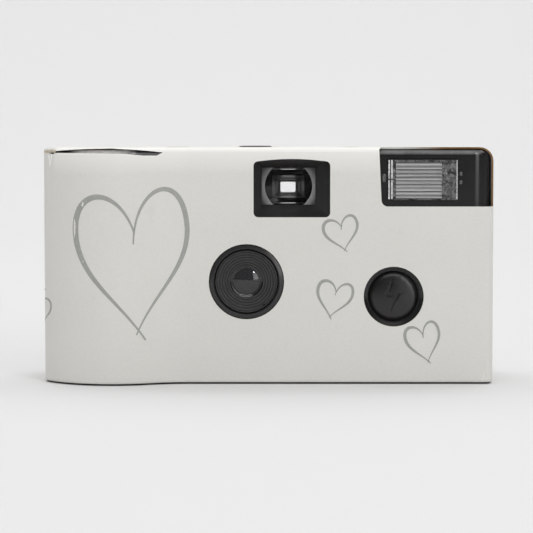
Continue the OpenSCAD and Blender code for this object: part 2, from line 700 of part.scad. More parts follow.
// Inner frame: exposure tunnel, film rails, film chambers, mechanism deck and battery bay.
module chassis() {
    z0 = inner_z0 + 0.2;
    wall_z0 = lens_z - 10.4;
    wall_x0 = lens_x - 13.5;
    wall_x1 = lens_x + 13.5;
    tunnel_y0 = shutter_wall_y + shutter_wall_t - fit;
    tunnel_y1 = film_y - rail_t;
    chamber_r = cassette_r + 0.4;
    seat_z = cassette_z1 + 0.4;
    deck_x0 = sprocket_x - 5.5;
    deck_x1 = finder_x - finder_w / 2 - 1.7;
    rear_y = film_edge_y - 1.5;
    pawl_y = shutter_wall_y - 3;
    ear_y0 = shutter_y - 1 - 0.15;
    ear_y1 = shutter_y + 2 + 0.15;
    bay_x0 = cell_x - cell_r - 1;
    bay_x1 = cell_x + cell_r - 1.6;
    bay_y0 = cell_y - cell_r;
    bay_y1 = cell_y + cell_r - 1.5;
    bay_z1 = cell_z1 + contact_t + bay_t;
    difference() {
        union() {
            // Shutter wall and the web to the cassette chamber.
            block(
                [cassette_x + 11, shutter_wall_y, wall_z0],
                [wall_x1, shutter_wall_y + shutter_wall_t, deck_z + fit]
            );
            // Exposure tunnel, outside.
            difference() {
                funnel(lens_x, lens_z, tunnel_y0, 11, 11, tunnel_y1, frame_w + 2.2, frame_h + 2.2);
                linear_extrude(deck_z) polygon(concat(
                    film_front(-0.02), [[lens_x + rail_half_w, back_y], [lens_x - rail_half_w, back_y]]
                ));
            }
            translate([0, 0, z0]) linear_extrude(deck_top - z0) polygon(rail_outline());
            // Front half of the cassette chamber and the seat plate over the cassette.
            difference() {
                ring_wall(cassette_x, cassette_y, z0, seat_z + 0.9, chamber_r, chamber_r + chamber_wall);
                block([cassette_x - 20, cassette_y - 1.5, 0], [cassette_x + 20, cassette_y + 20, sleeve_h]);
            }
            difference() {
                translate([cassette_x, cassette_y, seat_z]) cylinder(r = chamber_r + 0.5, h = 0.9);
                translate([cassette_x, cassette_y, seat_z - 1]) cylinder(r = 5.2, h = 3);
                block([cassette_x - 20, cassette_y + 8, 0], [cassette_x + 20, cassette_y + 20, sleeve_h]);
            }
            difference() {
                translate([cassette_x, cassette_y, z0]) cylinder(r = chamber_r + 0.5, h = 1);
                translate([cassette_x, cassette_y, z0 - 1]) cylinder(r = 6.2, h = 3);
                block([cassette_x - 20, cassette_y + 8, 0], [cassette_x + 20, cassette_y + 20, sleeve_h]);
            }
            // Chamber for the unexposed roll, with its floor, its bridge and the web to the rails.
            difference() {
                ring_wall(roll_x, roll_y, z0, bridge_z + 0.4, roll_chamber_r, roll_chamber_r + chamber_wall);
                block([roll_x - 20, rear_y - 2.5, 0], [roll_x + 20, rear_y + 20, sleeve_h]);
            }
            translate([roll_x, roll_y, z0]) cylinder(r = roll_chamber_r + 0.3, h = 1);
            block(
                [roll_x - 2, roll_y - roll_chamber_r - 0.3, bridge_z],
                [roll_x + 2, roll_y + 2.5, bridge_z + deck_t]
            );
            translate([roll_x, roll_y, bridge_z]) cylinder(r = 2.8, h = deck_t);
            translate([0, 0, z0]) linear_extrude(deck_top - z0) polygon([
                [lens_x + rail_half_w - 1.3, rear_y + 0.7], [lens_x + rail_half_w, rear_y + 0.7],
                [roll_x - roll_chamber_r - 0.2, roll_y + 2], [roll_x - roll_chamber_r - 0.8, roll_y + 0.5]
            ]);
            // Mechanism deck, with the ears of the rocker and the posts.
            block([deck_x0, shutter_wall_y, deck_z], [deck_x1, rear_y, deck_top]);
            block([deck_x0 + 0.3, pawl_y, deck_z], [deck_x0 + 3.8, shutter_wall_y + 1, deck_top]);
            block([deck_x0 + 0.9, pawl_y, deck_z], [deck_x0 + 3.4, pawl_y + 2.2, wheel_z1 - 1]);
            for (y = [[ear_y0 - 1, ear_y0], [ear_y1, ear_y1 + 1]])
                block([rocker_x - 1.6, y[0], deck_z], [rocker_x + 1.6, y[1], rocker_z + 1.6]);
            along_y(rocker_x, ear_y0 - 0.5, rocker_z) cylinder(r = 0.9, h = ear_y1 - ear_y0 + 1);
            translate([striker_x, striker_y, deck_z])
                cylinder(r = 1.2, h = striker_z + striker_t + 2.8 - deck_z);
            // Pivot of the shutter blade and pins of the aperture plate.
            along_y(blade_pivot_x, blade_y - run, blade_pivot_z)
                cylinder(r = 1.2, h = shutter_wall_y + 0.5 - blade_y + run);
            along_y(blade_pivot_x, blade_y - run - 0.5, blade_pivot_z) cylinder(r = 1.9, h = 0.5);
            for (p = plate_pins) {
                along_y(p[0], plate_y + plate_t + 0.02, p[1])
                    cylinder(r = 1.4, h = shutter_wall_y + 0.5 - plate_y - plate_t);
                along_y(p[0], plate_y - 0.3, p[1]) cylinder(r = 0.8, h = 1);
            }
            // Battery bay and the web that carries it.
            block([bay_x0 - 1.2, bay_y0, z0], [bay_x0, bay_y1, bay_z1]);
            block([bay_x0 - 1.2, bay_y0, bay_z0], [bay_x1, bay_y1, bay_z0 + bay_t]);
            block([bay_x0 - 1.2, bay_y0, bay_z1 - bay_t], [bay_x1, bay_y1, bay_z1]);
            block([roll_x + roll_chamber_r + 0.2, roll_y - 0.6, z0], [bay_x0 - 0.6, roll_y + 0.6, deck_z]);
        }
        // Light path: the hole behind the blade, the tunnel and the picture gate.
        along_y(lens_x, shutter_wall_y - 1, lens_z) cylinder(r = aperture_r + 0.8, h = shutter_wall_t + 2);
        funnel(
            lens_x, lens_z, tunnel_y0 + 0.6, 9, 9,
            film_y + 1, frame_w + 0.6, frame_h + 0.6
        );
        // Sprocket: slot in the rails and bearing in the deck.
        translate([sprocket_x, sprocket_y, sprocket_z - sprocket_t / 2 - run])
            cylinder(r = sprocket_tip_r + run, h = sprocket_t + 2 * run);
        translate([sprocket_x, sprocket_y, deck_z - 1]) cylinder(r = 1.58, h = deck_t + 2);
        block(
            [cassette_x, cassette_y - 1.4, film_z0 - 2],
            [cassette_x + cassette_r + 1.5, cassette_y + 14, film_z1 + 1]
        );
        // Bearings of the supply spool.
        translate([roll_x, roll_y, z0 - 1]) cylinder(r = 1.28, h = 3);
        translate([roll_x, roll_y, bridge_z - 1]) cylinder(r = 1.28, h = deck_t + 2);
    }
}

// Serrated outline of the thumb wheel.
function serrated(r, n, depth) = [for (k = [0:n - 1]) for (q = [0, 0.25, 0.5, 0.75])
    let (a = 360 * (k + q) / n, s = r - depth * (q == 0.5 ? 1 : q == 0 ? 0 : 0.35))
    [s * cos(a), s * sin(a)]];

// Thumb wheel with a dog that turns the cassette's spool.
module thumb_wheel() {
    translate([cassette_x, cassette_y, 0]) difference() {
        union() {
            translate([0, 0, wheel_z0 + 0.5]) linear_extrude(wheel_t - 1)
                polygon(serrated(wheel_r, wheel_serrations, 0.7));
            translate([0, 0, wheel_z0]) cylinder(r1 = wheel_r - 1.3, r2 = wheel_r - 0.8, h = 0.55);
            translate([0, 0, wheel_z1 - 0.55]) cylinder(r1 = wheel_r - 0.8, r2 = wheel_r - 1.3, h = 0.55);
            translate([0, 0, cassette_z1 - 0.6]) cylinder(r = 4.6, h = wheel_z0 - cassette_z1 + 1);
            translate([-1, -3, cassette_z1 - 4]) cube([2, 6, 5]);
        }
        translate([0, 0, wheel_z1 - 2.3]) cylinder(r = 2.47, h = 4);
        translate([0, 0, wheel_z1 - 1]) difference() {
            cylinder(r = wheel_r - 3, h = 2);
            translate([0, 0, -1]) cylinder(r = 6.5, h = 4);
        }
    }
}

// Spring pawl that stops the thumb wheel from turning back.
module wheel_pawl() {
    post_x = sprocket_x - 5.5 + 0.9;
    post_y = shutter_wall_y - 3;
    beak = wheel_r + run;
    z = (wheel_z0 + wheel_z1) / 2 - 1;
    translate([0, 0, z]) linear_extrude(2) polygon([
        [post_x + 2, post_y - 0.02], [post_x + 2, post_y - 0.7], [post_x - 0.4, post_y - 0.7],
        [cassette_x + (beak + 0.9) * cos(-42), cassette_y + (beak + 0.9) * sin(-42)],
        [cassette_x + beak * cos(-42), cassette_y + beak * sin(-42)],
        [cassette_x + (beak + 0.5) * cos(-39), cassette_y + (beak + 0.5) * sin(-39)],
        [post_x - 0.2, post_y - 0.02]
    ]);
}

// Film sprocket with its shaft, the cocking lobe, the release cam and the counter's finger.
module film_sprocket() {
    drum_r = sprocket_r - film_t - run;
    translate([sprocket_x, sprocket_y, 0]) {
        translate([0, 0, sprocket_z - sprocket_t / 2]) {
            cylinder(r = drum_r, h = sprocket_t);
            linear_extrude(sprocket_t) for (k = [0:sprocket_teeth - 1])
                rotate(90 + 360 * k / sprocket_teeth) polygon([
                    [drum_r - 1, -0.9], [drum_r, -0.8], [sprocket_tip_r - 0.3, -0.45],
                    [sprocket_tip_r, -0.2], [sprocket_tip_r, 0.2],
                    [sprocket_tip_r - 0.3, 0.45], [drum_r, 0.8], [drum_r - 1, 0.9]
                ]);
        }
        translate([0, 0, sprocket_z]) cylinder(r = 1.5, h = dial_z + dial_t - sprocket_z);
        translate([0, 0, dial_z + dial_t - 0.5]) cylinder(r = 1, h = 1.5);
        translate([0, 0, striker_z + 0.3]) linear_extrude(striker_t - 0.6) difference() {
            circle(r = 3.6);
            translate([1.2, -5]) square([5, 10]);
        }
        translate([0, 0, cam_z]) linear_extrude(1.2) difference() {
            circle(r = 4);
            translate([-0.9, -5]) square([1.8, 2.4]);
        }
        translate([0, 0, dial_z]) linear_extrude(dial_t) rotate(200) polygon([
            [0, -1.2], [finger_r - 0.2, -0.5], [finger_r, 0], [finger_r - 0.2, 0.5], [0, 1.2]
        ]);
    }
}

// Toothed exposure counter dial.
module counter_dial() {
    translate([dial_x, dial_y, dial_z]) linear_extrude(dial_t) difference() {
        polygon(serrated(counter_r, counter_teeth, 0.6));
        circle(r = 1.58);
    }
}

// Clear window over the counter dial, with a flange under the top.
module counter_window() {
    w = counter_window_w - 2 * fit;
    translate([counter_x, dial_y, inner_z1 - 0.8]) {
        linear_extrude(0.8 - 0.02) polygon(round_rect(w + 1, w + 0.4, 0.6));
        linear_extrude(0.8 + wall - 0.1) polygon(round_rect(w, w - 1, 0.5));
    }
}

// Line of the film beside the rails, moved by d across its thickness, as X and Y.
function film_line(x, d) = [x, film_edge_y + film_slope * (x - lens_x + rail_half_w) + d];
lip_x0 = cassette_x + 6;
lip_x1 = cassette_x + cassette_r - 0.5;

// Strip beside the film line from x0 to x1, between d0 and d1 across it.
function film_band(x0, x1, d0, d1) =
    [film_line(x0, d0), film_line(x1, d0), film_line(x1, d1), film_line(x0, d1)];

// Cassette's metal shell with its light-trap lip.
module cassette_shell() {
    difference() {
        union() {
            ring_wall(
                cassette_x, cassette_y, cassette_z0 + 0.5, cassette_z1 - 0.5,
                cassette_r - 0.8, cassette_r - 0.4
            );
            translate([0, 0, cassette_z0 + 1.6]) linear_extrude(cassette_h - 3.2) {
                polygon(film_band(lip_x0, lip_x1, 0.55, 0.95));
                polygon(film_band(lip_x0 + 1, lip_x1, -1.1, -0.7));
            }
        }
        translate([0, 0, cassette_z0 + 1.6]) linear_extrude(cassette_h - 3.2)
            polygon(film_band(lip_x0 - 1, lip_x1 + 1, -0.7, 0.55));
    }
}

// Felt strips inside the cassette's lip.
module cassette_felt() {
    x0 = lip_x1 - 3.4;
    x1 = lip_x1 - 0.2;
    translate([0, 0, film_z0 - 0.3]) linear_extrude(film_w + 0.6) {
        polygon(film_band(x0, x1, 0.08, 0.5));
        polygon(film_band(x0, x1, -0.65, -film_t - 0.08));
    }
}

// Pressed end caps of the cassette.
module cassette_caps() {
    for (z = [cassette_z0, cassette_z1 - 1.4])
        translate([cassette_x, cassette_y, z]) difference() {
            cylinder(r = cassette_r, h = 1.4);
            translate([0, 0, z == cassette_z0 ? 0.45 : -0.05]) cylinder(r = cassette_r - 0.35, h = 1);
            translate([0, 0, -1]) cylinder(r = 5.9, h = 4);
        }
}

// Cassette's spool, with a cross slot at the top for the wheel's dog and a hub below.
module cassette_spool() {
    translate([cassette_x, cassette_y, 0]) difference() {
        union() {
            translate([0, 0, inner_z0 + 0.4]) cylinder(r = 5.7, h = cassette_z0 + 2 - inner_z0 - 0.4);
            translate([0, 0, cassette_z0 + 1]) cylinder(r = 5.4, h = cassette_h - 2);
        }
        translate([-1.15, -3.15, cassette_z1 - 4.2]) cube([2.3, 6.3, 6]);
        translate([0, 0, cassette_z1 - 0.9]) cylinder(r = 4.8, h = 2);
        translate([0, 0, inner_z0]) cylinder(r = 3.6, h = 3);
    }
}

// Exposed film wound on the cassette's spool.
module film_coil() {
    ring_wall(cassette_x, cassette_y, film_z0, film_z1, 5.45, coil_r);
}

// Film from the cassette over the curved rails to the roll, with both rows of perforations.
module film_strip() {
    lead = coil_film_r * sin(film_lean);
    start_x = cassette_x - lead;
    end_x = roll_x + roll_film_r * sin(film_lean);
    edge_x = lens_x + rail_half_w;
    path = concat(
        [[start_x, film_edge_y + film_slope * (start_x - lens_x + rail_half_w)]],
        [for (k = [0:14]) let (x = lens_x + rail_half_w * (k / 7 - 1)) [x, film_at(x)]],
        [[end_x, film_edge_y - film_slope * (end_x - edge_x)]]
    );
    difference() {
        translate([0, 0, film_z0]) linear_extrude(film_w) polygon(concat(
            [for (p = path) [p[0], p[1] - film_t]],
            [for (k = [len(path) - 1:-1:0]) path[k]]
        ));
        for (z = [film_z0 + 2, film_z1 - 4.8])
            for (k = [-1:floor((edge_x - sprocket_x) / perforation_pitch)])
                translate([sprocket_x + k * perforation_pitch - 0.99, film_edge_y - 2, z])
                    cube([1.98, 6, 2.8]);
    }
}

// Spool of the unexposed roll.
module supply_spool() {
    translate([roll_x, roll_y, 0]) {
        translate([0, 0, inner_z0 + 0.4]) cylinder(r = 1.2, h = bridge_z + deck_t - inner_z0 - 0.6);
        translate([0, 0, inner_z0 + 1.4]) cylinder(r = 3, h = bridge_z - inner_z0 - 1.6);
    }
}

// Unexposed film, wound on its spool.
module film_roll() {
    ring_wall(roll_x, roll_y, film_z0, film_z1, 3.02, roll_r);
}

// Front finder lens: a flat pane with a round hollow ground into its face.
module finder_objective() {
    dish_r = 6.2;
    depth = 1.3;
    ball = (dish_r * dish_r + depth * depth) / (2 * depth);
    difference() {
        block(
            [finder_x - finder_w / 2, finder_lens_y, finder_z - finder_h / 2],
            [finder_x + finder_w / 2, finder_lens_y + finder_lens_t, finder_z + finder_h / 2]
        );
        translate([finder_x, finder_lens_y + depth - ball, finder_z]) sphere(r = ball, $fn = 64);
    }
}

// Rear finder lens: a bulged pane through the rear cover, with a flange inside.
module finder_eyepiece() {
    y0 = inner_back_y - 1.2;
    bulge = 0.5;
    ball = (pow(eyepiece_h / 2, 2) + bulge * bulge) / (2 * bulge);
    front_plate(y0, 1.2 - fit) translate([finder_x, eyepiece_z])
        square([eyepiece_w + 1.6, eyepiece_h + 1.6], center = true);
    front_plate(y0, 1.2 + wall - 0.3) translate([finder_x, eyepiece_z])
        polygon(round_rect(eyepiece_w, eyepiece_h, 0.7));
    along_y(finder_x, y0 + 1.2 + wall - 0.3 + bulge - ball, eyepiece_z) intersection() {
        rotate_extrude($fn = 48) polygon(concat(
            [[0, ball - bulge - 0.2]],
            [for (k = [6:-1:0]) let (r = eyepiece_h / 2 * k / 6) [r, sqrt(ball * ball - r * r)]]
        ));
        translate([-20, -20, ball - bulge - 0.15]) cube([40, 40, 5]);
    }
}

// Tapered light tunnel between the two finder lenses.
module finder_tunnel() {
    y0 = finder_lens_y + finder_lens_t + fit;
    y1 = inner_back_y - 1.2 - fit;
    difference() {
        funnel(
            finder_x, finder_z, y0, finder_w + 2, finder_h + 2,
            y1, eyepiece_w + 2, eyepiece_h + 2, 0, -eyepiece_dip
        );
        funnel(
            finder_x, finder_z, y0 - 0.2, finder_w, finder_h,
            y1 + 0.2, eyepiece_w - 0.2, eyepiece_h - 0.2, 0, -eyepiece_dip
        );
    }
}

// Ribbed flash window with a flange behind the cover.
module flash_window() {
    face_y = cover_front_y + 0.35;
    x0 = flash_x - flash_w / 2;
    x1 = flash_x + flash_w / 2;
    z0 = flash_z - flash_h / 2;
    pitch = (flash_h - 0.8) / flash_ribs;
    block([x0 - 1, inner_front_y + 0.05, z0 - 0.7], [x1 + 1, inner_front_y + 0.8, z0 + flash_h + 0.7]);
    front_plate(face_y, inner_front_y + 0.4 - face_y) translate([flash_x, flash_z])
        polygon(round_rect(flash_w, flash_h, 0.5));
    // Level ribs across the middle.
    for (k = [0:flash_ribs - 1])
        translate([x0 + 2.2, face_y, z0 + 0.4 + pitch * k]) rotate([90, 0, 90])
            linear_extrude(flash_rib_w) polygon([
                [0.2, 0.08], [-0.3, pitch * 0.35], [-0.36, pitch * 0.5],
                [-0.3, pitch * 0.65], [0.2, pitch - 0.08]
            ]);
    // Upright bars at the left end and facets at the right end.
    for (z = [z0 + 0.5, z0 + flash_h / 2 + 0.25])
        for (x = [x0 + 0.55, x0 + 1.45])
            translate([x, face_y, z]) cylinder(r = 0.36, h = flash_h / 2 - 0.75);
    for (k = [0:3])
        translate([x1 - 3.9 + 0.95 * k, face_y, z0 + 0.4]) linear_extrude(flash_h - 0.8)
            polygon([[0.05, 0.2], [0.3, -0.3], [0.6, -0.3], [0.9, 0.2]]);
}

// Trough-shaped flash reflector with end plates.
module flash_reflector() {
    y0 = inner_front_y + 0.9;
    depth = 6;
    half_h = flash_h / 2 - 0.5;
    x0 = flash_x - flash_w / 2 + 2;
    length = flash_rib_w + 0.4;
    inside = [for (k = [-8:8]) [depth * (1 - pow(k / 8, 2)), half_h * k / 8]];
    ends = [for (k = [-8:8]) [(depth + 0.2) * (1 - pow(k / 8, 2)), (half_h + 0.2) * k / 8]];
    outside = [for (k = [8:-1:-8]) [(depth + 0.5) * (1 - pow(k / 8, 2)), (half_h + 0.5) * k / 8]];
    difference() {
        union() {
            translate([x0, y0, flash_z]) rotate([90, 0, 90]) linear_extrude(length)
                polygon(concat(inside, outside));
            for (x = [x0, x0 + length - 0.5])
                translate([x, y0, flash_z]) rotate([90, 0, 90]) linear_extrude(0.5) polygon(ends);
        }
        along_x(x0 - 1, tube_y, flash_z) cylinder(r = tube_r + 0.05, h = length + 2);
    }
}

// Glass flash tube with its metal end sleeves.
module flash_tube() {
    x0 = flash_x - flash_w / 2 - 1.2;
    length = flash_w + 2.4;
    along_x(x0, tube_y, flash_z) cylinder(r = tube_r, h = length);
    along_x(x0 - 1.4, tube_y, flash_z) cylinder(r = 0.4, h = length + 2.8);
}

// Circuit board of the flash.
module flash_board() {
    front_plate(board_y, board_t) difference() {
        translate([board_x0, board_z0]) square([board_x1 - board_x0, board_z1 - board_z0]);
        for (p = board_holes)
            translate(p) circle(r = 1.1);
        translate([board_x1 - 1.6, board_z0 - 1]) square([4, 8]);
    }
}

// Electrolytic capacitor under the lens, with its two leads.
module flash_capacitor() {
    x0 = capacitor_x - capacitor_l / 2;
    along_x(x0, capacitor_y, capacitor_z) rotate_extrude() polygon([
        [0, 0], [capacitor_r - 0.6, 0], [capacitor_r, 0.5], [capacitor_r, capacitor_l - 3.4],
        [capacitor_r - 0.5, capacitor_l - 2.9], [capacitor_r, capacitor_l - 2.4],
        [capacitor_r, capacitor_l - 0.6], [capacitor_r - 0.8, capacitor_l], [0, capacitor_l]
    ]);
    lead_x = x0 + capacitor_l - 0.5;
    lead_y = board_y + board_t + 0.02;
    for (z = [capacitor_z + 1, capacitor_z + 4]) {
        along_x(lead_x, capacitor_y, z) cylinder(r = 0.35, h = board_x0 + 2.3 - lead_x);
        along_y(board_x0 + 2, lead_y, z) cylinder(r = 0.35, h = capacitor_y + 0.3 - lead_y);
    }
}

// Step-up transformer on the back of the board.
module flash_transformer() {
    y0 = board_y + board_t + 0.02;
    x0 = cell_x - 5;
    z0 = lens_z - 4;
    block([x0, y0, z0], [x0 + 11, y0 + 1.2, z0 + 11]);
    block([x0, y0 + 4.8, z0], [x0 + 11, y0 + 6, z0 + 11]);
    along_y(x0 + 5.5, y0 + 1, z0 + 5.5) cylinder(r = 5, h = 4);
}

// Trigger coil on the back of the board.
module trigger_coil() {
    y0 = board_y + board_t + 0.02;
    x0 = cell_x - 5;
    z0 = board_z0 + 7;
    block([x0, y0, z0 - 2.6], [x0 + 1.2, y0 + 5.4, z0 + 2.6]);
    block([x0 + 8, y0, z0 - 2.6], [x0 + 9.2, y0 + 5.4, z0 + 2.6]);
    along_x(x0 + 0.5, y0 + 2.7, z0) cylinder(r = 2.4, h = 8);
}

// Glow lamp that shows when the flash is ready.
module ready_lamp() {
    lead_y = board_y + board_t + 0.02;
    translate([ready_x, ready_y, ready_z]) rotate_extrude() polygon([
        [0, 0], [ready_r, 0], [ready_r, 3.4], [ready_r - 0.6, 4.3], [0, 4.6]
    ]);
    for (x = [ready_x - 0.8, ready_x + 0.8]) {
        translate([x, ready_y, board_z1 - 2]) cylinder(r = 0.25, h = ready_z + 0.4 - board_z1 + 2);
        along_y(x, lead_y, board_z1 - 1.8) cylinder(r = 0.25, h = ready_y - lead_y);
    }
}

// Light pipe from the glow lamp to the top.
module ready_light_pipe() {
    z0 = ready_z + 4.8;
    translate([ready_x, ready_y, 0]) rotate_extrude() polygon([
        [0, z0], [ready_r - 0.3, z0], [ready_r - 0.3, inner_z1 - 1.2], [ready_r + 0.8, inner_z1 - 1.2],
        [ready_r + 0.8, inner_z1 - 0.02], [ready_r, inner_z1 - 0.02], [ready_r, cover_z1],
        [ready_r - 0.4, cover_z1 + 0.15], [0, cover_z1 + 0.25]
    ]);
}

// Flash button: a domed face with a sunk bolt, a sloped rim, a flange behind the cover and a stem.
module flash_button() {
    reach = board_y - 0.9 - flash_travel * 0.4 - button_face_y;
    flange = inner_front_y + 0.05 - button_face_y;
    difference() {
        along_y(flash_button_x, button_face_y, flash_button_z) rotate_extrude() polygon(concat(
            [for (k = [0:6]) let (r = (flash_button_r - 1.3) * k / 6) [r, 0.45 * pow(k / 6, 2) - 0.3]],
            [[flash_button_r - 0.55, 0.62], [flash_button_r, 1.05], [flash_button_r, flange]],
            [[flash_button_r + 0.7, flange], [flash_button_r + 0.7, flange + flange_t]],
            [[2, flange + flange_t], [2, reach], [0, reach]]
        ));
        front_plate(button_face_y - 1, 1.25) translate([flash_button_x, flash_button_z])
            polygon([[-0.2, 4.6], [-2.3, 0.1], [-0.1, 0.1], [-0.7, -3.9], [1.6, 0.8], [-1, 0.8]]);
    }
}

// Spring leaf that the flash button presses onto the board.
module flash_contact() {
    y0 = board_y - 0.75;
    x1 = flash_button_x + 9;
    z0 = flash_button_z - 2;
    block([flash_button_x - 3, y0, z0], [x1, y0 + 0.2, z0 + 4]);
    block([x1 - 1, y0, z0], [x1, board_y - 0.02, z0 + 4]);
}

// Pair of leaves that fires the flash when the shutter is open.
module sync_contacts() {
    x0 = blade_pivot_x + 5.6;
    block([x0, shutter_wall_y + 0.3, deck_top + 0.02], [x0 + 2, shutter_wall_y + 4.3, deck_top + 1.4]);
    block([x0 + 0.3, shutter_wall_y + 0.5, deck_top + 1], [x0 + 0.5, shutter_wall_y + 4, deck_top + 4]);
    block([x0 + 1.4, shutter_wall_y + 0.5, deck_top + 1], [x0 + 1.6, shutter_wall_y + 4, deck_top + 3.6]);
}

// AA cell, standing with its button up.
module battery_cell() {
    translate([cell_x, cell_y, cell_z0]) rotate_extrude() polygon([
        [0, 0], [cell_r - 1, 0], [cell_r - 0.4, 0.25], [cell_r, 0.7],
        [cell_r, cell_l - 2.2], [cell_r - 0.5, cell_l - 1.6], [2.7, cell_l - 1.5],
        [2.7, cell_l - 0.3], [2.4, cell_l], [0, cell_l]
    ]);
}

// Upper contact strip of the cell, with a tail to the board.
module battery_contact_plus() {
    z0 = cell_z1 + 0.02;
    z1 = z0 + contact_t - 0.04;
    x0 = cell_x + 3.7;
    x1 = cell_x + 6.2;
    y0 = board_y + board_t + 0.02;
    block([cell_x - 4, cell_y - 4, z0], [x1, cell_y + 3, z1]);
    block([x0, y0 + 2, z0], [x1, cell_y - 3.5, z1]);
    block([x0, y0 + 2, board_z1 - 6], [x1, y0 + 2.3, z1]);
    block([x0, y0, board_z1 - 6], [x1, y0 + 2.3, board_z1 - 5.7]);
}

// Lower contact with its conical spring.
module battery_contact_minus() {
    z0 = bay_z0 + bay_t + 0.02;
    block([cell_x - 5.5, cell_y - 5.5, z0], [cell_x + 5, cell_y + 5, z0 + contact_t - 0.02]);
    translate([cell_x, cell_y, z0 + contact_t - 0.1]) coil(4.2, 2.4, 0.35, 4, spring_l);
}

// Screws that hold the board on the cover's bosses.
module board_screws() {
    for (p = board_holes) {
        along_y(p[0], board_y - 2.2, p[1]) cylinder(r = 0.9, h = board_t + 3);
        along_y(p[0], board_y + board_t + 0.02, p[1]) difference() {
            cylinder(r = 1.8, h = 1.1);
            translate([-0.25, -1.2, 0.6]) cube([0.5, 2.4, 1]);
            translate([-1.2, -0.25, 0.6]) cube([2.4, 0.5, 1]);
        }
    }
}

// Every piece in its place, or the single piece that is named.
card_sleeve();
front_cover();
rear_cover();
chassis();
lens_bezel();
taking_lens();
aperture_plate();
shutter_blade();
striker_lever();
striker_spring();
release_lever();
shutter_button();
thumb_wheel();
wheel_pawl();
film_sprocket();
counter_dial();
counter_window();
cassette_shell();
cassette_caps();
cassette_spool();
cassette_felt();
film_strip();
film_coil();
supply_spool();
film_roll();
finder_objective();
finder_eyepiece();
finder_tunnel();
flash_window();
flash_reflector();
flash_tube();
flash_board();
flash_capacitor();
flash_transformer();
trigger_coil();
ready_lamp();
ready_light_pipe();
flash_button();
flash_contact();
sync_contacts();
battery_cell();
battery_contact_plus();
battery_contact_minus();
board_screws();
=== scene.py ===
import json
import math
import bmesh
import bpy
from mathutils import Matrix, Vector
from mathutils.bvhtree import BVHTree


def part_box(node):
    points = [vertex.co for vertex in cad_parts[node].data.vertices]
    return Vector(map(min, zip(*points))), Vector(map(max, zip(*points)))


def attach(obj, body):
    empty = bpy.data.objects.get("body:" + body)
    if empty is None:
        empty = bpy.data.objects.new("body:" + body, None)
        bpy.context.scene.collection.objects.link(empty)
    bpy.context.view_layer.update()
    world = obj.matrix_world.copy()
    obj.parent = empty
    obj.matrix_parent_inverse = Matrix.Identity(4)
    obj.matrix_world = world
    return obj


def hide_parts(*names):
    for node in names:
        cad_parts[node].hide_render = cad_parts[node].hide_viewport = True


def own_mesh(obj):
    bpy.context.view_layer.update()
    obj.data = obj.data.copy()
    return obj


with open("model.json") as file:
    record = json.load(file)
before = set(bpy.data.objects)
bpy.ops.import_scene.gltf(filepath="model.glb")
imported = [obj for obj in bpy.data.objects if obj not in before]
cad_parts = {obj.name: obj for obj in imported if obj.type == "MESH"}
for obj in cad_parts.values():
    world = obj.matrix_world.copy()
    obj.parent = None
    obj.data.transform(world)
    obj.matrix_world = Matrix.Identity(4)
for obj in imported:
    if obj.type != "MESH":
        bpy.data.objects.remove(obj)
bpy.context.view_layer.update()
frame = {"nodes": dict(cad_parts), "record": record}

NODES = frame["nodes"]
MM = 0.001


# Materials

def srgb(r, g, b):
    """Linear colour of an 8-bit sRGB colour."""
    def lin(v):
        v /= 255.0
        return v / 12.92 if v <= 0.04045 else ((v + 0.055) / 1.055) ** 2.4
    return (lin(r), lin(g), lin(b), 1.0)


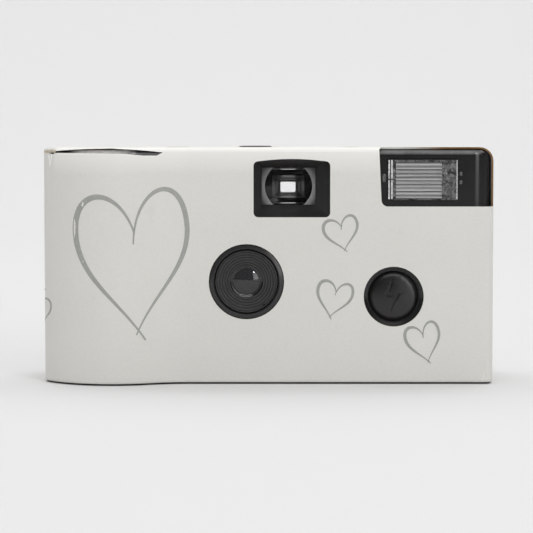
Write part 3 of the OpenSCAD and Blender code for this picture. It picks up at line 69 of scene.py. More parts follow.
class Mat:
    """A node material with object coordinates, built up call by call."""

    def __init__(self, name, **sockets):
        self.m = bpy.data.materials.new(name)
        self.m.use_nodes = True
        self.t = self.m.node_tree
        self.p = self.t.nodes["Principled BSDF"]
        self.co = self.add("ShaderNodeTexCoord").outputs["Object"]
        self.bumps = None
        for k, v in sockets.items():
            self.p.inputs[k.replace("_", " ")].default_value = v

    def add(self, kind, **props):
        n = self.t.nodes.new(kind)
        for k, v in props.items():
            setattr(n, k, v)
        return n

    def link(self, a, b):
        self.t.links.new(a, b)

    def stretch(self, x, y, z):
        n = self.add("ShaderNodeMapping")
        n.inputs["Scale"].default_value = (x, y, z)
        self.link(self.co, n.inputs["Vector"])
        return n.outputs["Vector"]

    def noise(self, scale, detail=3.0, rough=0.55, vector=None):
        n = self.add("ShaderNodeTexNoise")
        n.inputs["Scale"].default_value = scale
        n.inputs["Detail"].default_value = detail
        n.inputs["Roughness"].default_value = rough
        self.link(vector or self.co, n.inputs["Vector"])
        return n.outputs["Fac"]

    def speckle(self, scale, size):
        n = self.add("ShaderNodeTexVoronoi")
        n.inputs["Scale"].default_value = scale
        self.link(self.co, n.inputs["Vector"])
        return self.span(n.outputs["Distance"], size, size * 0.4, 0, 1)

    def span(self, value, a, b, c, d, smooth=False):
        n = self.add("ShaderNodeMapRange")
        if smooth:
            n.interpolation_type = "SMOOTHSTEP"
        for k, v in zip(("From Min", "From Max", "To Min", "To Max"), (a, b, c, d)):
            n.inputs[k].default_value = v
        self.link(value, n.inputs["Value"])
        return n.outputs["Result"]

    def band(self, axis, at, half):
        """1 on a thin line across an axis, 0 away from it."""
        off = self.math("ABSOLUTE", self.math("SUBTRACT", self.axis(axis), at), 0)
        return self.span(off, half, half * 0.4, 0, 1, True)

    def axis(self, name):
        n = self.add("ShaderNodeSeparateXYZ")
        self.link(self.co, n.inputs[0])
        return n.outputs[name]

    def math(self, op, a, b):
        n = self.add("ShaderNodeMath", operation=op)
        for i, v in enumerate((a, b)):
            if isinstance(v, (int, float)):
                n.inputs[i].default_value = v
            else:
                self.link(v, n.inputs[i])
        return n.outputs[0]

    def mix(self, fac, a, b, blend="MIX"):
        n = self.add("ShaderNodeMix", data_type="RGBA", blend_type=blend)
        if isinstance(fac, (int, float)):
            n.inputs[0].default_value = fac
        else:
            self.link(fac, n.inputs[0])
        for i, v in ((6, a), (7, b)):
            if isinstance(v, tuple):
                n.inputs[i].default_value = v
            else:
                self.link(v, n.inputs[i])
        return n.outputs[2]

    def color(self, out):
        self.link(out, self.p.inputs["Base Color"])

    def rough(self, out):
        self.link(out, self.p.inputs["Roughness"])

    def bump(self, height, strength, distance):
        n = self.add("ShaderNodeBump")
        n.inputs["Strength"].default_value = strength
        n.inputs["Distance"].default_value = distance
        self.link(height, n.inputs["Height"])
        if self.bumps:
            self.link(self.bumps, n.inputs["Normal"])
        self.bumps = n.outputs["Normal"]
        self.link(self.bumps, self.p.inputs["Normal"])


def moulded(name, dark, light, r0, r1, grain, depth, **sockets):
    """Moulded plastic: colour drift, a fine moulding grain and uneven gloss."""
    m = Mat(name, **sockets)
    m.color(m.mix(m.noise(140, 4), dark, light))
    m.rough(m.span(m.noise(420, 5, 0.65), 0.3, 0.7, r0, r1))
    m.bump(m.noise(grain, 2), 0.5, depth)
    return m.m


def card_material():
    """White card: fibres, scuffs, a painted highlight along the front fold, a painted shadow along the bottom
    line and glued seams.
    """
    m = Mat("card_face", Specular_IOR_Level=0.32)
    broad = m.mix(m.noise(38, 3), srgb(218, 217, 212), srgb(226, 225, 221))
    fibre = m.noise(2600, 3, 0.6, m.stretch(0.45, 1.0, 1.0))
    toned = m.mix(m.span(fibre, 0.35, 0.68, 0.0, 0.16), broad, srgb(196, 194, 187))
    scuff = m.math("MULTIPLY", m.span(m.noise(95, 6, 0.7), 0.62, 0.74, 0, 1), 0.12)
    worn = m.mix(scuff, toned, srgb(178, 176, 170))
    # Painted highlight: the front panel turns paler up towards the top and over the fold.
    rising = m.span(m.axis("Z"), 0.055, 0.0604, 0.0, 0.65)
    fold = m.span(m.axis("Z"), 0.0605, 0.0611, 0.0, 0.35)
    facing = m.span(m.axis("Y"), -0.0112, -0.0122, 0, 1)
    below_top = m.span(m.axis("Z"), 0.0618, 0.06199, 1, 0)
    front = m.math("MULTIPLY", facing, below_top)
    pale = m.math("MULTIPLY", m.math("ADD", rising, fold), front)
    with_fold_highlight = m.mix(pale, worn, srgb(245, 244, 240))
    # Painted contact shadow: a dark line along the bottom edge where the sleeve meets the floor.
    low = m.span(m.axis("Z"), 0.00064, 0.0004, 0.0, 1.0)
    painted_contact_shadow = m.math("MULTIPLY", low, m.span(m.noise(160, 3), 0.2, 0.5, 0.94, 1.0))
    with_contact_shadow = m.mix(painted_contact_shadow, with_fold_highlight, srgb(24, 23, 21))
    lap = m.math("MULTIPLY", m.span(m.axis("Y"), 0.0155, 0.0162, 0, 1), m.band("Z", 0.014, 0.00022))
    side = m.math("ABSOLUTE", m.axis("X"), 0)
    ends = m.math("MULTIPLY", m.span(side, 0.0585, 0.0588, 0, 1), m.span(m.axis("Y"), -0.0112, -0.0108, 0, 1))
    flap = m.math("MULTIPLY", ends, m.band("Z", 0.0245, 0.0002))
    seam = m.math("ADD", lap, flap)
    m.color(m.mix(seam, with_contact_shadow, srgb(112, 106, 94)))
    m.rough(m.span(m.noise(300, 4), 0.3, 0.7, 0.5, 0.66))
    m.bump(fibre, 0.22, 0.00003)
    m.bump(m.noise(24, 2), 0.35, 0.0009)
    m.bump(m.span(m.axis("Z"), 0.0555, 0.0622, 0.0, -0.0009, True), 1.0, 1.0)
    m.bump(seam, 0.8, -0.0003)
    return m.m


def raw_edge_material(name, start, stop, dark, light):
    """Cut edge of grey-brown board; its white face paper wraps over it where X is below start."""
    m = Mat(name, Specular_IOR_Level=0.15, Roughness=0.9)
    layers = m.noise(1500, 4, 0.7, m.stretch(0.3, 1.0, 0.3))
    board = m.mix(layers, dark, light)
    m.color(m.mix(m.span(m.axis("X"), start, stop, 0, 1), srgb(222, 221, 217), board))
    m.bump(m.noise(3500, 3), 0.6, 0.00004)
    return m.m


def print_material():
    """Grey print, a little worn through."""
    m = Mat("card_print", Specular_IOR_Level=0.45)
    worn = m.mix(m.noise(700, 5, 0.7), srgb(150, 151, 147), srgb(172, 173, 169))
    m.color(m.mix(m.span(m.noise(2400, 3), 0.62, 0.75, 0, 0.5), worn, srgb(205, 205, 201)))
    m.rough(m.span(m.noise(500, 3), 0.3, 0.7, 0.34, 0.5))
    m.bump(m.noise(2600, 3), 0.15, 0.00003)
    return m.m


def settled_dust(m, tint):
    """Painted highlights on the cover: a pale patchy film on the edge behind the slit and a grey band along
    the top edge of the flash end.
    """
    patchy = (0.25, 0.6, 0.6, 1.0)
    left = m.span(m.axis("X"), -0.0525, -0.048, 0, 1, True)
    right = m.span(m.axis("X"), -0.0335, -0.0375, 0, 1, True)
    high = m.span(m.axis("Z"), 0.0601, 0.0606, 0, 1, True)
    forward = m.span(m.axis("Y"), -0.0105, -0.0115, 0, 1, True)
    slit = m.math("MULTIPLY", m.math("MULTIPLY", left, right), m.math("MULTIPLY", high, forward))
    slit = m.math("MULTIPLY", slit, m.span(m.noise(500, 4), *patchy))
    tint = m.mix(slit, tint, srgb(206, 203, 201))
    end = m.span(m.axis("X"), 0.0275, 0.0285, 0, 1)
    facing = m.span(m.axis("Y"), -0.0118, -0.0124, 0, 1)
    edge = m.span(m.axis("Z"), 0.06, 0.0603, 0, 1, True)
    flash = m.math("MULTIPLY", m.math("MULTIPLY", end, facing), edge)
    flash = m.math("MULTIPLY", flash, m.span(m.noise(500, 4), *patchy))
    return m.mix(flash, tint, srgb(108, 108, 107))


def gloss_black(name, r0, r1, tone, shine=0.4, with_cover_highlights=False):
    """Shiny black plastic with fine dust; the flag adds the painted highlights on the cover's edges."""
    m = Mat(name, Specular_IOR_Level=shine)
    base = m.mix(m.noise(160, 4), srgb(tone, tone, tone), srgb(tone + 7, tone + 7, tone + 7))
    dust = m.math("MULTIPLY", m.speckle(900, 0.12), m.span(m.noise(120, 3), 0.5, 0.7, 0, 0.25))
    tint = m.mix(dust, base, srgb(120, 120, 116))
    # Painted highlights behind the slit and along the top edge of the flash end.
    if with_cover_highlights:
        tint = settled_dust(m, tint)
    m.color(tint)
    streak = m.noise(900, 4, 0.6, m.stretch(0.12, 1.0, 1.0))
    m.rough(m.math("ADD", m.span(m.noise(260, 5, 0.65), 0.3, 0.7, r0, r1), m.span(streak, 0.55, 0.8, 0, 0.1)))
    m.bump(m.noise(1500, 3), 0.12, 0.00003)
    m.bump(m.noise(45, 2), 0.1, 0.0004)
    return m.m


def bezel_material():
    """Satin black of the stepped funnel, with painted light: a patchy painted highlight at the inner edge of
    each step and painted shade in its corner.
    """
    m = Mat("bezel_satin", Specular_IOR_Level=0.5)
    lo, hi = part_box("lens_bezel")
    reach = m.add("ShaderNodeVectorMath", operation="DISTANCE")
    m.link(m.stretch(1, 0, 1), reach.inputs[0])
    reach.inputs[1].default_value = ((lo.x + hi.x) / 2, 0, (lo.z + hi.z) / 2)
    first, step = 0.0044, 0.0007
    steps = m.math("DIVIDE", m.math("SUBTRACT", reach.outputs["Value"], first), step)
    across = m.math("FRACT", steps, 0)
    # Painted highlight along each step's inner edge, patchy as if rubbed; painted shade darkens the tread
    # towards its corner.
    worn = m.math("MULTIPLY", m.span(across, 0.0, 0.45, 1, 0), m.span(m.noise(420, 4), 0.3, 0.65, 0.55, 1.0))
    tread_with_painted_shade = m.mix(m.span(across, 0.72, 0.95, 0, 1), srgb(30, 30, 30), srgb(8, 8, 8))
    m.color(m.mix(worn, tread_with_painted_shade, srgb(66, 66, 65)))
    m.rough(m.span(m.noise(260, 5, 0.65), 0.3, 0.7, 0.12, 0.22))
    m.bump(m.noise(1500, 3), 0.12, 0.00003)
    return m.m


def clear(name, tint, r0=0.01, r1=0.05, ior=1.49):
    m = Mat(name, IOR=ior, Transmission_Weight=1.0, Specular_IOR_Level=0.5)
    m.color(m.mix(m.noise(180, 3), tint, tuple(min(1.0, c * 1.03) for c in tint[:3]) + (1.0,)))
    m.rough(m.span(m.noise(600, 4, 0.65), 0.35, 0.75, r0, r1))
    return m.m


def ribbed_material():
    """Clear acrylic with level ribs, with painted light: bright and dark streaks painted in rows along the
    ribs.
    """
    m = Mat("flash_acrylic", IOR=1.49, Transmission_Weight=0.5)
    lo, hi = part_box("flash_window")
    pitch = (hi.z - lo.z - 0.00265) / 10
    turn = m.math("MULTIPLY", m.math("SUBTRACT", m.axis("Z"), lo.z + 0.00105), 2 * math.pi / pitch)
    # Painted highlight and shade: the colour runs bright and dark row by row with the ribs and in streaks
    # along them.
    rib = m.span(m.math("SINE", turn, 0), -0.7, 0.7, 0.35, 1.0)
    streak = m.noise(1100, 3, 0.6, m.stretch(0.012, 1.0, 1.0))
    fine = m.noise(2600, 2, 0.5, m.stretch(0.01, 1.0, 1.0))
    drift = m.math("MULTIPLY", m.span(streak, 0.38, 0.58, 0.62, 1.0), m.span(fine, 0.4, 0.56, 0.7, 1.0))
    tone = m.math("MULTIPLY", rib, drift)
    m.color(m.mix(tone, (0.2, 0.2, 0.2, 1.0), (1.0, 1.0, 0.985, 1.0)))
    m.rough(m.span(m.noise(600, 4), 0.35, 0.75, 0.0, 0.04))
    return m.m


def prism_material(name, scale, a, b, dark, light):
    """Cut acrylic with painted glints and shade: bright and dark flakes painted in its colour."""
    m = Mat(name, IOR=1.49, Transmission_Weight=0.15, Specular_IOR_Level=0.6)
    cells = m.add("ShaderNodeTexVoronoi")
    cells.inputs["Scale"].default_value = scale
    m.link(m.co, cells.inputs["Vector"])
    flakes = m.add("ShaderNodeSeparateColor")
    m.link(cells.outputs["Color"], flakes.inputs[0])
    flake = m.math("MULTIPLY", flakes.outputs[0], 0.5)
    tone = m.math("ADD", flake, m.math("MULTIPLY", m.noise(scale, 3, 0.7), 0.5))
    # Painted glints and shade: the colour goes bright and dark flake by flake.
    m.color(m.mix(m.span(tone, a, b, 0, 1), (dark, dark, dark, 1.0), (light, light, light * 0.98, 1.0)))
    m.rough(m.span(m.noise(900, 3), 0.3, 0.7, 0.06, 0.2))
    m.bump(m.noise(scale, 2), 0.3, 0.00008)
    return m.m


def frost_material():
    """Etched face of the finder lens, with painted light: brighter towards the hollow and towards the bottom,
    dark at the corners.
    """
    m = Mat("finder_frost", Specular_IOR_Level=0.4, Transmission_Weight=0.3)
    lo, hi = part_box("finder_objective")
    reach = m.add("ShaderNodeVectorMath", operation="DISTANCE")
    m.link(m.co, reach.inputs[0])
    reach.inputs[1].default_value = ((lo.x + hi.x) / 2, lo.y, (lo.z + hi.z) / 2)
    # Painted light: brightest next to the hollow and low down, fading to dark at the corners.
    near = m.span(reach.outputs["Value"], 0.0061, 0.0079, 1.0, 0.06)
    hatch = m.span(m.noise(1300, 4, 0.7), 0.3, 0.7, 0.6, 1.0)
    lower = m.span(m.axis("Z"), lo.z + 0.001, hi.z, 1.15, 0.6)
    tone = m.math("MULTIPLY", m.math("MULTIPLY", near, hatch), lower)
    m.color(m.mix(tone, srgb(36, 36, 36), srgb(174, 174, 173)))
    m.rough(m.span(m.noise(400, 3), 0.3, 0.7, 0.35, 0.5))
    m.bump(m.noise(2600, 2), 0.3, 0.00004)
    return m.m


def tunnel_material():
    """Black inside of the finder, with painted light that greys it towards the eyepiece, and a faint sheen on
    two steps.
    """
    m = Mat("tunnel_dead_matt")
    lo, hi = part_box("finder_tunnel")
    deep = hi.y - lo.y
    wide = m.band("Y", hi.y - 0.52 * deep, 0.11 * deep)
    thin = m.band("Y", hi.y - 0.28 * deep, 0.045 * deep)
    sheen = m.math("ADD", m.math("MULTIPLY", wide, 0.08), m.math("MULTIPLY", thin, 0.06))
    m.link(sheen, m.p.inputs["Specular IOR Level"])
    dark = m.mix(m.noise(140, 4), srgb(12, 12, 12), srgb(20, 20, 20))
    # Painted light: the black turns grey towards the eyepiece end.
    m.color(m.mix(m.span(m.axis("Y"), lo.y + 0.008, hi.y, 0, 1), dark, srgb(150, 150, 147)))
    m.rough(m.span(m.noise(420, 5, 0.65), 0.3, 0.7, 0.24, 0.34))
    m.bump(m.noise(1800, 2), 0.2, 0.00002)
    return m.m


def metal(name, a, b, r0, r1, pull=(1, 1, 1), grain=1200, depth=0.00002):
    m = Mat(name, Metallic=1.0)
    g = m.noise(grain, 4, 0.6, m.stretch(*pull))
    m.color(m.mix(g, a, b))
    m.rough(m.span(g, 0.3, 0.7, r0, r1))
    m.bump(g, 0.25, depth)
    return m.m


def film_material():
    m = Mat("film_base", Specular_IOR_Level=0.5)
    m.color(m.mix(m.noise(90, 3), srgb(96, 70, 58), srgb(118, 88, 74)))
    m.rough(m.span(m.noise(400, 3), 0.3, 0.7, 0.14, 0.28))
    m.bump(m.noise(800, 2), 0.1, 0.00002)
    return m.m


def board_material():
    m = Mat("board_laminate", Specular_IOR_Level=0.4)
    base = m.mix(m.noise(700, 5, 0.7), srgb(116, 92, 48), srgb(142, 116, 66))
    track = m.span(m.noise(210, 0, 0.5, m.stretch(1.0, 1.0, 0.35)), 0.5, 0.52, 0, 1)
    m.color(m.mix(track, base, srgb(104, 110, 58)))
    m.rough(m.span(m.noise(500, 3), 0.3, 0.7, 0.4, 0.6))
    m.bump(track, 0.4, 0.00005)
    return m.m


CARD = card_material()
# Painted highlight: the creases are drawn in a card paler than the sleeve.
CREASE_HIGHLIGHT = moulded("card_crease_painted_highlight", srgb(244, 243, 240), srgb(250, 249, 246), 0.5, 0.65, 2600, 0.00003)
RAW = raw_edge_material("card_raw_edge", -0.08, -0.07, srgb(132, 108, 74), srgb(180, 158, 122))
TORN = moulded("card_torn", srgb(172, 155, 130), srgb(226, 217, 202), 0.8, 0.95, 2600, 0.0001)
# The brown board of this cut edge is real; its darker brown than the other raw edges is painted shade.
WRAP_SHADED = raw_edge_material("card_wrapped_edge", 0.034, 0.046, srgb(96, 70, 40), srgb(142, 110, 70))
PRINT = print_material()
GLOSS = gloss_black("cover_gloss", 0.11, 0.2, 28, with_cover_highlights=True)
BUTTON = gloss_black("button_satin", 0.28, 0.4, 12, 0.6)
BEZEL = bezel_material()
RING = gloss_black("ring_satin", 0.14, 0.22, 44)
MATT = moulded("black_matt", srgb(15, 15, 16), srgb(24, 24, 25), 0.55, 0.75, 1800, 0.00006,
               Specular_IOR_Level=0.35)
TUNNEL = tunnel_material()
WHEEL = moulded("wheel_grain", srgb(20, 20, 21), srgb(32, 32, 33), 0.42, 0.6, 2600, 0.00008)
GREY = moulded("grey_moulded", srgb(168, 168, 164), srgb(186, 186, 182), 0.4, 0.55, 1500, 0.00005)
WHITE = moulded("white_moulded", srgb(222, 221, 216), srgb(236, 235, 231), 0.4, 0.55, 1500, 0.00004)
CLEAR = clear("clear_acrylic", (0.97, 0.98, 0.98, 1.0))
FINDER = clear("finder_acrylic", (0.97, 0.98, 0.985, 1.0), 0.0, 0.02)
FINDER.node_tree.nodes["Principled BSDF"].inputs["Specular Tint"].default_value = (0.2, 0.2, 0.2, 1.0)
# Painted shade: the lens is tinted nearly black and lets little through, standing in for the dark inside of
# the camera.
LENS = clear("lens_acrylic", (0.07, 0.07, 0.075, 1.0), 0.05, 0.1, 1.52)
LENS.node_tree.nodes["Principled BSDF"].inputs["Transmission Weight"].default_value = 0.6
RIBBED = ribbed_material()
# Painted glints and shade on the bars, the facets and the lugs of the flash lens.
PRISM = prism_material("flash_bars", 2200, 0.3, 0.6, 0.5, 1.0)
FACETS = prism_material("flash_facets", 1100, 0.25, 0.85, 0.02, 0.24)
LUG = prism_material("flash_lug_clear", 900, 0.3, 0.75, 0.06, 0.2)
# A dark clear that paints shade on the lines between the flash lens ribs, around and across its bars and
# along its left and top borders.
GROOVE_SHADE = clear("flash_groove_painted_shade", (0.12, 0.12, 0.12, 1.0), 0.1, 0.25)
FROST = frost_material()
AMBER = clear("amber_acrylic", (0.95, 0.62, 0.3, 1.0), 0.05, 0.2)
AMBER.node_tree.nodes["Principled BSDF"].inputs["Transmission Weight"].default_value = 0.6
STEEL = metal("spring_steel", srgb(150, 150, 150), srgb(196, 196, 194), 0.22, 0.38, (1, 0.15, 1))
MIRROR = metal("reflector_sheet", srgb(226, 226, 224), srgb(242, 242, 240), 0.08, 0.2, (0.2, 1, 1))
CASSETTE = moulded("cassette_paint", srgb(70, 72, 76), srgb(92, 94, 98), 0.3, 0.45, 900, 0.00003,
                   Metallic=0.4)
BLACKED = moulded("blacked_sheet", srgb(16, 16, 16), srgb(26, 26, 26), 0.5, 0.7, 1600, 0.00003, Metallic=0.5)
FELT = moulded("black_felt", srgb(10, 10, 10), srgb(22, 22, 22), 0.9, 1.0, 4200, 0.0003, Sheen_Weight=0.6)
FERRITE = moulded("ferrite_tape", srgb(44, 38, 32), srgb(74, 62, 48), 0.45, 0.65, 1500, 0.00006)
CAN = moulded("capacitor_sleeve", srgb(16, 17, 24), srgb(28, 29, 38), 0.2, 0.35, 700, 0.00004)
CELL = moulded("cell_wrapper", srgb(48, 49, 54), srgb(66, 67, 72), 0.22, 0.34, 500, 0.00003)
FILM = film_material()
BOARD = board_material()

FINISH = {
    "card_sleeve": CARD, "front_cover": GLOSS, "rear_cover": GLOSS, "chassis": MATT, "lens_bezel": BEZEL,
    "taking_lens": LENS, "aperture_plate": BLACKED, "shutter_blade": BLACKED, "striker_lever": GREY,
    "striker_spring": STEEL, "release_lever": GREY, "shutter_button": BUTTON, "thumb_wheel": WHEEL,
    "wheel_pawl": GREY, "film_sprocket": GREY, "counter_dial": WHITE, "counter_window": CLEAR,
    "cassette_shell": CASSETTE, "cassette_caps": CASSETTE, "cassette_spool": MATT, "cassette_felt": FELT,
    "film_strip": FILM, "film_coil": FILM, "supply_spool": GREY, "film_roll": FILM,
    "finder_objective": FINDER, "finder_eyepiece": FINDER, "finder_tunnel": TUNNEL, "flash_window": RIBBED,
    "flash_reflector": MIRROR, "flash_tube": CLEAR, "flash_board": BOARD, "flash_capacitor": CAN,
    "flash_transformer": FERRITE, "trigger_coil": FERRITE, "ready_lamp": CLEAR, "ready_light_pipe": AMBER,
    "flash_button": BUTTON, "flash_contact": STEEL, "sync_contacts": STEEL, "battery_cell": CELL,
    "battery_contact_plus": STEEL, "battery_contact_minus": STEEL, "board_screws": STEEL,
}
for name, node in NODES.items():
    node.data.materials.clear()
    node.data.materials.append(FINISH[name])

BODY = {n: b for b, ns in frame["record"]["behaviour"]["bodies"].items() for n in ns}


def piece(name, mesh, material, body):
    """A new object of the part that rides on a body."""
    o = bpy.data.objects.new(name, mesh)
    bpy.context.scene.collection.objects.link(o)
    if material:
        mesh.materials.append(material)
    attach(o, body)
    return o


def finished(bm, name):
    """The mesh of a bmesh, which is freed."""
    mesh = bpy.data.meshes.new(name)
    bm.to_mesh(mesh)
    bm.free()
    return mesh


def surface_of(o):
    """A tree of an object's faces to cast rays at."""
    bm = bmesh.new()
    bm.from_mesh(o.data)
    tree = BVHTree.FromBMesh(bm)
    bm.free()
    return tree


def soften(mesh, angle):
    """Smooth shading with hard edges where faces meet at more than the angle."""
    for p in mesh.polygons:
        p.use_smooth = True
    mesh.set_sharp_from_angle(angle=math.radians(angle))


def dressed(node, width, angle=28, segments=2):
    """A copy of a CAD node with joined facets, rounded edges and smooth shading, in the node's place."""
    bm = bmesh.new()
    bm.from_mesh(NODES[node].data)
    bmesh.ops.remove_doubles(bm, verts=bm.verts, dist=2e-6)
    bmesh.ops.dissolve_limit(bm, angle_limit=math.radians(0.6), verts=bm.verts, edges=bm.edges)
    if width:
        edges = [e for e in bm.edges if e.is_manifold and e.calc_face_angle(0) > math.radians(angle)]
        bmesh.ops.bevel(bm, geom=edges, offset=width * MM, segments=segments, profile=0.5,
                        affect="EDGES", clamp_overlap=True)
    mesh = finished(bm, node + "_dressed")
    soften(mesh, 38)
    o = piece(node + "_dressed", mesh, FINISH[node], BODY[node])
    w = o.modifiers.new("normals", "WEIGHTED_NORMAL")
    w.keep_sharp = True
    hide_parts(node)
    return o


# The card sleeve

T_CARD = 0.45
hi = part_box("card_sleeve")[1]
TOP, SIDE = hi.z, hi.x
FLAT = -13.4 * MM
BACK = hi.y
THIN = 0.05 * MM
CUT = (T_CARD - 0.05) * MM
END = SIDE - 2.2 * MM

sleeve = dressed("card_sleeve", 0)
sleeve.data.materials.append(RAW)
sleeve.data.materials.append(WRAP_SHADED)
for p in sleeve.data.polygons:
    c, n = p.center, p.normal
    mid_front = FLAT + THIN < c.y < FLAT + CUT and abs(n.y) < 0.35 and c.x < END
    mid_top = TOP - CUT < c.z < TOP - THIN and abs(n.z) < 0.35
    mid_back = BACK - CUT < c.y < BACK - THIN and abs(n.y) < 0.35 and abs(c.x) < END
    wrap = abs(c.y - (FLAT + 2.6 * MM)) < THIN and n.y < -0.9
    inside = 1.3 * MM < c.z < TOP - 1.7 * MM
    if (mid_front and inside) or (mid_top and -0.056 < c.x < 0.057) or (mid_back and inside):
        p.material_index = 1
    if wrap:
        p.material_index = 2

cover = dressed("front_cover", 0.12)
for node, width in (("rear_cover", 0.12), ("thumb_wheel", 0.08), ("counter_window", 0.08),
                    ("flash_button", 0.04), ("shutter_button", 0.0), ("lens_bezel", 0.07),
                    ("taking_lens", 0.0), ("finder_eyepiece", 0.05)):
    dressed(node, width)

objective = dressed("finder_objective", 0.0)
objective.data.materials.append(FROST)
objective.data.materials.append(TUNNEL)
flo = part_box("finder_objective")[0]
for p in objective.data.polygons:
    if p.normal.y < -0.995 and abs(p.center.y - flo.y) < 0.1 * MM:
        p.material_index = 1
    elif abs(p.normal.y) < 0.05:
        p.material_index = 2

leaf = dressed("flash_contact", 0.03)
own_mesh(leaf)

reflector = NODES["flash_reflector"].data
reflector.materials.append(MATT)
for p in reflector.polygons:
    if p.center.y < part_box("flash_reflector")[0].y + 0.15 * MM or abs(p.normal.x) > 0.9:
        p.material_index = 1


def facet(u, v):
    """Height of the cut facets at the end of the flash lens, from 0 to 1."""
    i, j = math.floor(u), math.floor(v)
    lean = math.sin(i * 12.9 + j * 78.2) * 0.45
    a, b = u - i - 0.5 - lean * 0.4, v - j - 0.5 + lean * 0.5
    return max(0.0, 1 - 1.7 * max(abs(a), abs(b))) * (0.6 + 0.4 * math.cos(i * 7.1 + j * 3.7))


def flash_relief(x, z, x0, x1, z0, z1):
    """How far the flash lens stands proud at a point of its face in mm, and its zone; zone 3 takes the dark
    clear of painted shade.
    """
    if min(x - x0, z1 - z) < 0.25:
        return 0.0, 3
    if min(x1 - x, z - z0) < 0.25:
        return 0.3, 2 if z < z0 + 0.25 else 1
    if x < x0 + 1.45:
        bar = min(abs(x - x0 - 0.4) / 0.29, abs(x - x0 - 1.18) / 0.26)
        split = abs(z - (z0 + z1) / 2) < 0.2
        return (0.0, 3) if bar > 1 or split else (0.42 * math.sqrt(1 - bar * bar), 1)
    if x > x1 - 4.1:
        return 0.36 * facet((x - x1) / 0.85, (z - z0) / 0.8), 2
    if x < x0 + 2.2:
        return 0.25 * facet((x - x0) / 0.7, (z - z0) / 0.7), 2
    if z < z0 + 0.35 or z > z1 - 0.9:
        return 0.0, 2
    pitch = (z1 - z0 - 1.25) / 10
    t = ((z - z0 - 0.35) % pitch) / pitch * 2 - 1
    return 0.4 * math.sqrt(max(0.0, 1 - t * t)), 3 if abs(t) > 0.86 else 0


def flash_lens():
    """The clear flash lens with its ribs, bars and facets cut in the front face."""
    (bx0, _, bz0), (bx1, by1, bz1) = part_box("flash_window")
    x0, x1, z0, z1 = bx0 / MM + 1, bx1 / MM - 1, bz0 / MM + 0.7, bz1 / MM - 0.7
    face = FLAT / MM + 0.95
    nx, nz = 140, 130
    bm = bmesh.new()
    grid = []
    for j in range(nz + 1):
        z = z0 + (z1 - z0) * j / nz
        grid.append([bm.verts.new((x * MM, (face - flash_relief(x, z, x0, x1, z0, z1)[0]) * MM, z * MM))
                     for x in (x0 + (x1 - x0) * i / nx for i in range(nx + 1))])
    for j in range(nz):
        for i in range(nx):
            f = bm.faces.new((grid[j][i], grid[j][i + 1], grid[j + 1][i + 1], grid[j + 1][i]))
            x, z = x0 + (x1 - x0) * (i + 0.5) / nx, z0 + (z1 - z0) * (j + 0.5) / nz
            f.material_index = flash_relief(x, z, x0, x1, z0, z1)[1]
    rim = [grid[0][i] for i in range(nx + 1)] + [grid[j][nx] for j in range(1, nz + 1)]
    rim += [grid[nz][i] for i in range(nx - 1, -1, -1)] + [grid[j][0] for j in range(nz - 1, 0, -1)]
    rear = [bm.verts.new((v.co.x, by1 - 0.0004, v.co.z)) for v in rim]
    for a in range(len(rim)):
        b = (a + 1) % len(rim)
        bm.faces.new((rim[b], rim[a], rear[a], rear[b]))
    bm.faces.new(rear)
    bmesh.ops.recalc_face_normals(bm, faces=bm.faces)
    mesh = finished(bm, "flash_lens")
    soften(mesh, 35)
    o = piece("flash_lens", mesh, RIBBED, "camera")
    for extra in (PRISM, FACETS, GROOVE_SHADE):
        mesh.materials.append(extra)
    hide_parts("flash_window")


flash_lens()


def flash_lugs():
    """The clear snap lugs of the flash lens that stand in slots of the cover beside it."""
    face = surface_of(cover)
    n = 20
    bm = bmesh.new()
    for x, z, w, h in ((30.35, 54.0, 0.5, 1.05), (50.35, 55.1, 0.36, 0.5), (50.35, 52.85, 0.36, 0.5)):
        y = face.ray_cast(Vector((x * MM, -0.05, z * MM)), Vector((0, 1, 0)))[0].y / MM
        rows = []
        for d, grow in ((0.1, 1.0), (-0.1, 1.0), (-0.2, 0.86), (-0.24, 0.62), (-0.16, 0.5), (-0.14, 0.2)):
            ring = []
            for k in range(n):
                a = 2 * math.pi * k / n
                u = math.copysign(abs(math.cos(a)) ** 0.55, math.cos(a)) * w * grow
                v = math.copysign(abs(math.sin(a)) ** 0.55, math.sin(a)) * h * grow
                ring.append(bm.verts.new(((x + u) * MM, (y + d) * MM, (z + v) * MM)))
            rows.append(ring)
        for a, b in zip(rows, rows[1:]):
            for k in range(n):
                bm.faces.new((a[k], a[(k + 1) % n], b[(k + 1) % n], b[k]))
        bm.faces.new(rows[-1])
    bmesh.ops.recalc_face_normals(bm, faces=bm.faces)
    mesh = finished(bm, "flash_lugs")
    soften(mesh, 50)
    piece("flash_lugs", mesh, LUG, "camera")


flash_lugs()


def lens_surround():
    """The low cone of black plastic around the lens, inside the hole in the card."""
    lo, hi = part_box("lens_bezel")
    cx, cz = (lo.x + hi.x) / 2 / MM, (lo.z + hi.z) / 2 / MM
    rings = ((8.58, 0.62), (8.64, 0.22), (8.76, 0.14), (9.5, 0.325), (9.72, 0.4), (9.78, 0.62))
    n = 120
    bm = bmesh.new()
    rows = []
    for r, d in rings:
        rows.append([bm.verts.new(((cx + r * math.cos(2 * math.pi * k / n)) * MM, FLAT + d * MM,
                                   (cz + r * math.sin(2 * math.pi * k / n)) * MM)) for k in range(n)])
    for a, b in zip(rows, rows[1:] + rows[:1]):
        for k in range(n):
            bm.faces.new((a[k], a[(k + 1) % n], b[(k + 1) % n], b[k]))
    bmesh.ops.recalc_face_normals(bm, faces=bm.faces)
    mesh = finished(bm, "lens_surround")
    soften(mesh, 40)
    piece("lens_surround", mesh, RING, "camera")


lens_surround()

SKIN = surface_of(sleeve)


def on_front(x, z, lift=0.03):
    hit = SKIN.ray_cast(Vector((x * MM, -0.05, z * MM)), Vector((0, 1, 0)))
    return Vector((x * MM, hit[0].y - lift * MM, z * MM))


